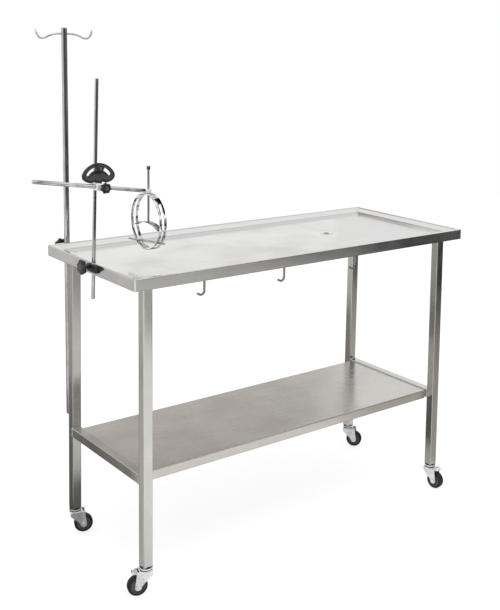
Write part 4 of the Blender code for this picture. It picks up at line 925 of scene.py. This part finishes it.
def fork(corner, base, head):
    """The fork's sheet, thickened, and the axle with a head at each end, turned from one mirrored line."""
    body = "caster_" + corner
    grid = fork_sheet()
    faces = grid_faces(*grid.shape[:2], False, False).tolist()
    points = put(grid, base, head).reshape(-1, 3)
    node = ("caster_fork_" + corner,)
    made = piece("fork_" + corner, points, faces, ZINC, body, node, closed=False)
    thicken(made, FORK_SHEET)
    axle = base + head @ (TRAIL, 0, WHEEL_R)
    cheek = FORK_HALF + GAP
    end = cheek + 0.003
    line = mirrored([(0.0012, -end), (0.0055, -end), (0.0055, -cheek), (0.003, -cheek)])
    points = put(revolve(soften(line, 0.0008, 3), 36), axle, head, TO_FRONT)
    skin("axle_" + corner, [(points, False)], ZINC, body, "chrome", "caster_axle_" + corner)
    return axle


def wheel(corner, axle, head):
    """The hub and the tyre, each turned from one line of (radius, half width) and its mirror image."""
    body = "wheel_" + corner
    line = [(0.0033, WHEEL_HALF), (0.0085, WHEEL_HALF), (0.0095, 0.0065), (0.0150, 0.0065)]
    line = mirrored(line + [(0.0158, 0.0095), (0.0182, 0.0095)])
    points = put(revolve(soften(line, 0.0006, 3, True)), axle, head, TO_FRONT)
    skin("hub_" + corner, [(points, True)], HUB_GREY, body, "hub", "wheel_hub_" + corner)
    line = mirrored([(0.0185, WHEEL_HALF), (0.0212, WHEEL_HALF), (0.0238, 0.0088), (WHEEL_R, 0.0055)])
    bends = [0.0004, 0.0012, 0.0014, 0.0016]
    points = put(revolve(soften(line, bends + bends[::-1], 4, True), 72), axle, head, TO_FRONT)
    skin("tyre_" + corner, [(points, True)], RUBBER, body, "tyre", "wheel_tyre_" + corner)


def casters():
    """A caster under each leg, turned to its own heading."""
    for corner, heading in HEADINGS.items():
        base = floor_point(corner)
        head = turn("z", math.radians(heading))
        race(corner, base)
        axle = fork(corner, base, head)
        wheel(corner, axle, head)
        if corner in BRAKED:
            pedal(corner, base, head)


def pedal(corner, base, head):
    """A tread plate on a pin: a line round its side view carried across its width.

    Low ribs are a sine wave along the top, and the line shrinks towards its middle at both sides.
    """
    length, half, rib, pitch = 0.0138, 0.009, 0.00035, 0.0023
    x = np.linspace(0.0, length, 43)
    top = 0.0024 + rib * np.sin(x * TURN / pitch) * (x > 0.002) * (x < 0.0125)
    side = join(columns(x, top), [(length, -0.0022), (0.009, -0.0027), (-0.0008, -0.0027)])
    inset = np.array([0.0, 0.0006, 0.0012])
    middle = side.mean(0)
    shrink = 1 - np.array([0.12, 0.04, 0.0, 0.0, 0.04, 0.12])[:, None, None]
    flat = middle + (side - middle) * shrink
    y = join(-half + inset, half - inset[::-1])[:, None]
    points = columns(flat[..., 0], y, flat[..., 1])
    at = base + head @ (TRAIL, 0, 0.0575)
    points = put(points, at, head, turn("y", math.radians(-12)))
    pin = put(revolve(mirrored([(0.0018, -0.0137)]), 20), at, head, TO_FRONT)
    skin("pedal_" + corner, [(points, False), (pin, False)], ZINC, "pedal_" + corner, "chrome",
         "brake_pedal_" + corner)


tray()
frame_tubes()
shelf()
tie_hooks()
drain()
knobs()
clamp_blocks()
infusion_pole()
straight_rods()
press()
ring()
arc_plate()
casters()
dress(BLACK_CLAMP, "tilt_arm")
dress(CHROME_BAND, "tilt_sleeve")
dress(SATIN, "bar_clamp", "ring_boss")


def stage_plane(name, points, finish, seen=False):
    """A flat shape of the stage. Unless it is seen, only reflections show it."""
    mesh = bpy.data.meshes.new(name)
    mesh.from_pydata((np.asarray(points, float) + SHIFT).tolist(), [], [tuple(range(len(points)))])
    mesh.materials.append(finish)
    made = bpy.data.objects.new(name, mesh)
    bpy.context.scene.collection.objects.link(made)
    if not seen:
        made.visible_camera = made.visible_diffuse = made.visible_shadow = False


def card(name, corners, near, far):
    """A card that only reflections see. Its tone runs from near at its first corner to far at its second."""
    name = "card_" + name
    f = Finish(name, metallic=0.0, roughness=0.9, specular_ior_level=0.0)
    corners = np.array(corners, float)
    run = corners[1] - corners[0]
    along = run / (run @ run)
    values = {0: f.place, 1: tuple(along)}
    share = f.node("VectorMath", {"operation": "DOT_PRODUCT"}, values, "Value")
    share = f.span(share - float((corners[0] + SHIFT) @ along), 0.0, 1.0)
    mottle = f.noise(0.5, 2.0) * 0.2 - 0.1
    stage_plane(name, corners, f.feed(base_color=f.ramp(share + mottle, [(0.0, near), (1.0, far)])))


def upright(first, second, low, high):
    """A standing card between two points of the floor and two heights."""
    return [(*first, low), (*second, low), (*second, high), (*first, high)]


def laid(x, run, near, far, length, z):
    """A strip on the floor that runs from an X in one direction, between two offsets along Y."""
    run = np.array(run, float) * length
    near, far = np.array([x, near]), np.array([x, far])
    return [(*e, z) for e in (near, near + run, far + run, far)]


def studio_floor():
    """A white floor that gives its own light, so that it stays white to its edge."""
    f = Finish("floor", metallic=0.0, roughness=0.95, specular_ior_level=0.0, emission_strength=0.77,
               emission_color=(1.0, 1.0, 1.0, 1.0))
    pale = f.ramp(f.noise(0.4, 2.0), [(0.3, grey(0.28)), (0.7, grey(0.30))])
    reach, steps = 6, 96
    angle = np.arange(steps) * TURN / steps
    stage_plane("floor", around(reach, angle, 0.0), f.feed(base_color=pale), True)


def studio_cards():
    """Cards that shade what the steel reflects: strips on the floor first, then standing cards."""
    along, left_way = (1.0, 0.0), (-0.477, 0.879)
    card("floor", laid(-3.0, along, -3.0, 3.0, 6.0, 0.002), (0.78, 0.775, 0.76), (0.76, 0.75, 0.74))
    card("under", laid(-1.5, along, -0.14, 2.0, 1.76, 0.004), (0.26, 0.25, 0.235), (0.20, 0.19, 0.18))
    strip = laid(-0.5, left_way, -0.65, -0.19, 2.4, 0.006)
    card("left_near", strip, (0.58, 0.57, 0.55), (0.50, 0.49, 0.47))
    strip = laid(-0.5, left_way, -0.19, 0.6, 2.4, 0.006)
    card("left_far", strip, (0.07, 0.068, 0.066), (0.33, 0.32, 0.31))
    card("near", laid(0.62, along, -2.0, -0.25, 2.0, 0.004), (0.47, 0.45, 0.425), (0.18, 0.165, 0.15))
    step = laid(0.6, along, -2.35, -1.58, 0.65, 0.006)
    card("step", step, (0.06, 0.059, 0.057), (0.10, 0.098, 0.095))
    rear, turned, back, right = (-3.5, -1.0), (-2.0, -3.3), (0.5, -2.68), (2.4, -1.09)
    card("back", upright(turned, back, 0.25, 1.45), grey(0.10), grey(0.03))
    card("rear", upright(rear, turned, 0.25, 1.45), grey(0.30), grey(0.10))
    flag = [(-0.33, -0.04, 0.94), (-0.33, -0.225, 0.97), (-0.33, -0.225, 1.03), (-0.33, -0.04, 1.11)]
    card("flag", flag, grey(0.02), grey(0.01))
    card("skirt", upright(back, right, 0.01, 0.28), (0.50, 0.49, 0.465), (0.27, 0.255, 0.24))
    card("right", upright(back, right, 0.28, 0.62), grey(0.05), (0.06, 0.057, 0.054))
    card("over", upright(back, right, 0.62, 1.45), grey(0.40), (0.01, 0.009, 0.008))
    card("post_right", upright((1.72, -1.635), (2.03, -1.376), 0.0, 0.31), grey(0.015), grey(0.02))
    card("end", upright((2.5, -1.0), (2.5, 1.0), 0.03, 1.45), grey(0.01), grey(0.06))
    left, behind = (-1.9, 0.7), (-0.6, 1.6)
    card("left", upright(left, behind, 0.0, 0.27), (0.31, 0.305, 0.295), (0.52, 0.50, 0.47))
    card("left_high", upright(left, behind, 0.27, 0.58), (0.34, 0.335, 0.33), (0.56, 0.54, 0.515))
    post = upright((-1.61, 0.88), (-1.39, 1.03), 0.13, 0.5)
    card("post_left", post, (0.80, 0.80, 0.79), (0.80, 0.80, 0.79))
    card("pale", upright(left, behind, 0.58, 1.45), grey(0.80), grey(0.70))
    card("high", upright((-3.0, 8.0), (7.2, 8.0), 3.5, 9.0), (0.52, 0.48, 0.44), (0.44, 0.41, 0.38))
    card("far", upright((7.2, 8.0), (14.0, 8.0), 0.0, 3.5), grey(0.86), grey(0.80))


def studio_lights():
    """White light from all round, and two soft lamps aimed at the table that do not show in the steel."""
    world = bpy.data.worlds.new("studio")
    bpy.context.scene.world = world
    world.use_nodes = True
    sky = world.node_tree.nodes["Background"]
    sky.inputs["Color"].default_value = (1.0, 1.0, 1.0, 1.0)
    sky.inputs["Strength"].default_value = 1.0
    target = np.array([0.0, 0.0, 0.7])
    lamps = (("key", (-0.6, -0.9, 2.6), 1.8, 22.0), ("fill", (1.2, -1.4, 2.2), 1.4, 8.0))
    for name, at, size, power in lamps:
        light = bpy.data.lights.new(name, "AREA")
        light.size, light.energy = size, power
        made = bpy.data.objects.new(name, light)
        made.location = np.array(at) + SHIFT
        aim = target - np.array(at)
        tilt = math.acos(-aim[2] / np.linalg.norm(aim))
        made.rotation_euler = (tilt, 0, math.atan2(aim[0], -aim[1]) + math.pi)
        made.visible_glossy = False
        bpy.context.scene.collection.objects.link(made)


def camera():
    """Stands where the photograph was taken. Its place, turn, tilt, roll and lens are the fitted view's."""
    place = (-1.649, -2.1847, 1.3648)
    yaw, pitch, roll = math.radians(39.479), math.radians(-8.672), math.radians(1.333)
    film, long_side, focal, move_x, move_y = 36.0, 610, 1002.39, -60, -120
    ahead = np.array([math.sin(yaw) * math.cos(pitch), math.cos(yaw) * math.cos(pitch), math.sin(pitch)])
    right = np.cross(ahead, (0, 0, 1))
    right /= np.linalg.norm(right)
    up = np.cross(right, ahead)
    across = math.cos(roll) * right + math.sin(roll) * up
    over = -math.sin(roll) * right + math.cos(roll) * up
    made = bpy.data.objects.new("camera", bpy.data.cameras.new("camera"))
    made.data.sensor_width = film
    made.data.lens = focal / long_side * film
    made.data.shift_x, made.data.shift_y = move_x / long_side, move_y / long_side
    matrix = np.eye(4)
    matrix[:3, 0], matrix[:3, 1], matrix[:3, 2] = across, over, -ahead
    matrix[:3, 3] = SHIFT + place
    made.matrix_world = [tuple(v) for v in matrix.T]
    bpy.context.scene.collection.objects.link(made)
    bpy.context.scene.camera = made
    bpy.context.scene.view_settings.view_transform = "Standard"


studio_floor()
studio_cards()
studio_lights()
camera()
bpy.context.view_layer.update()
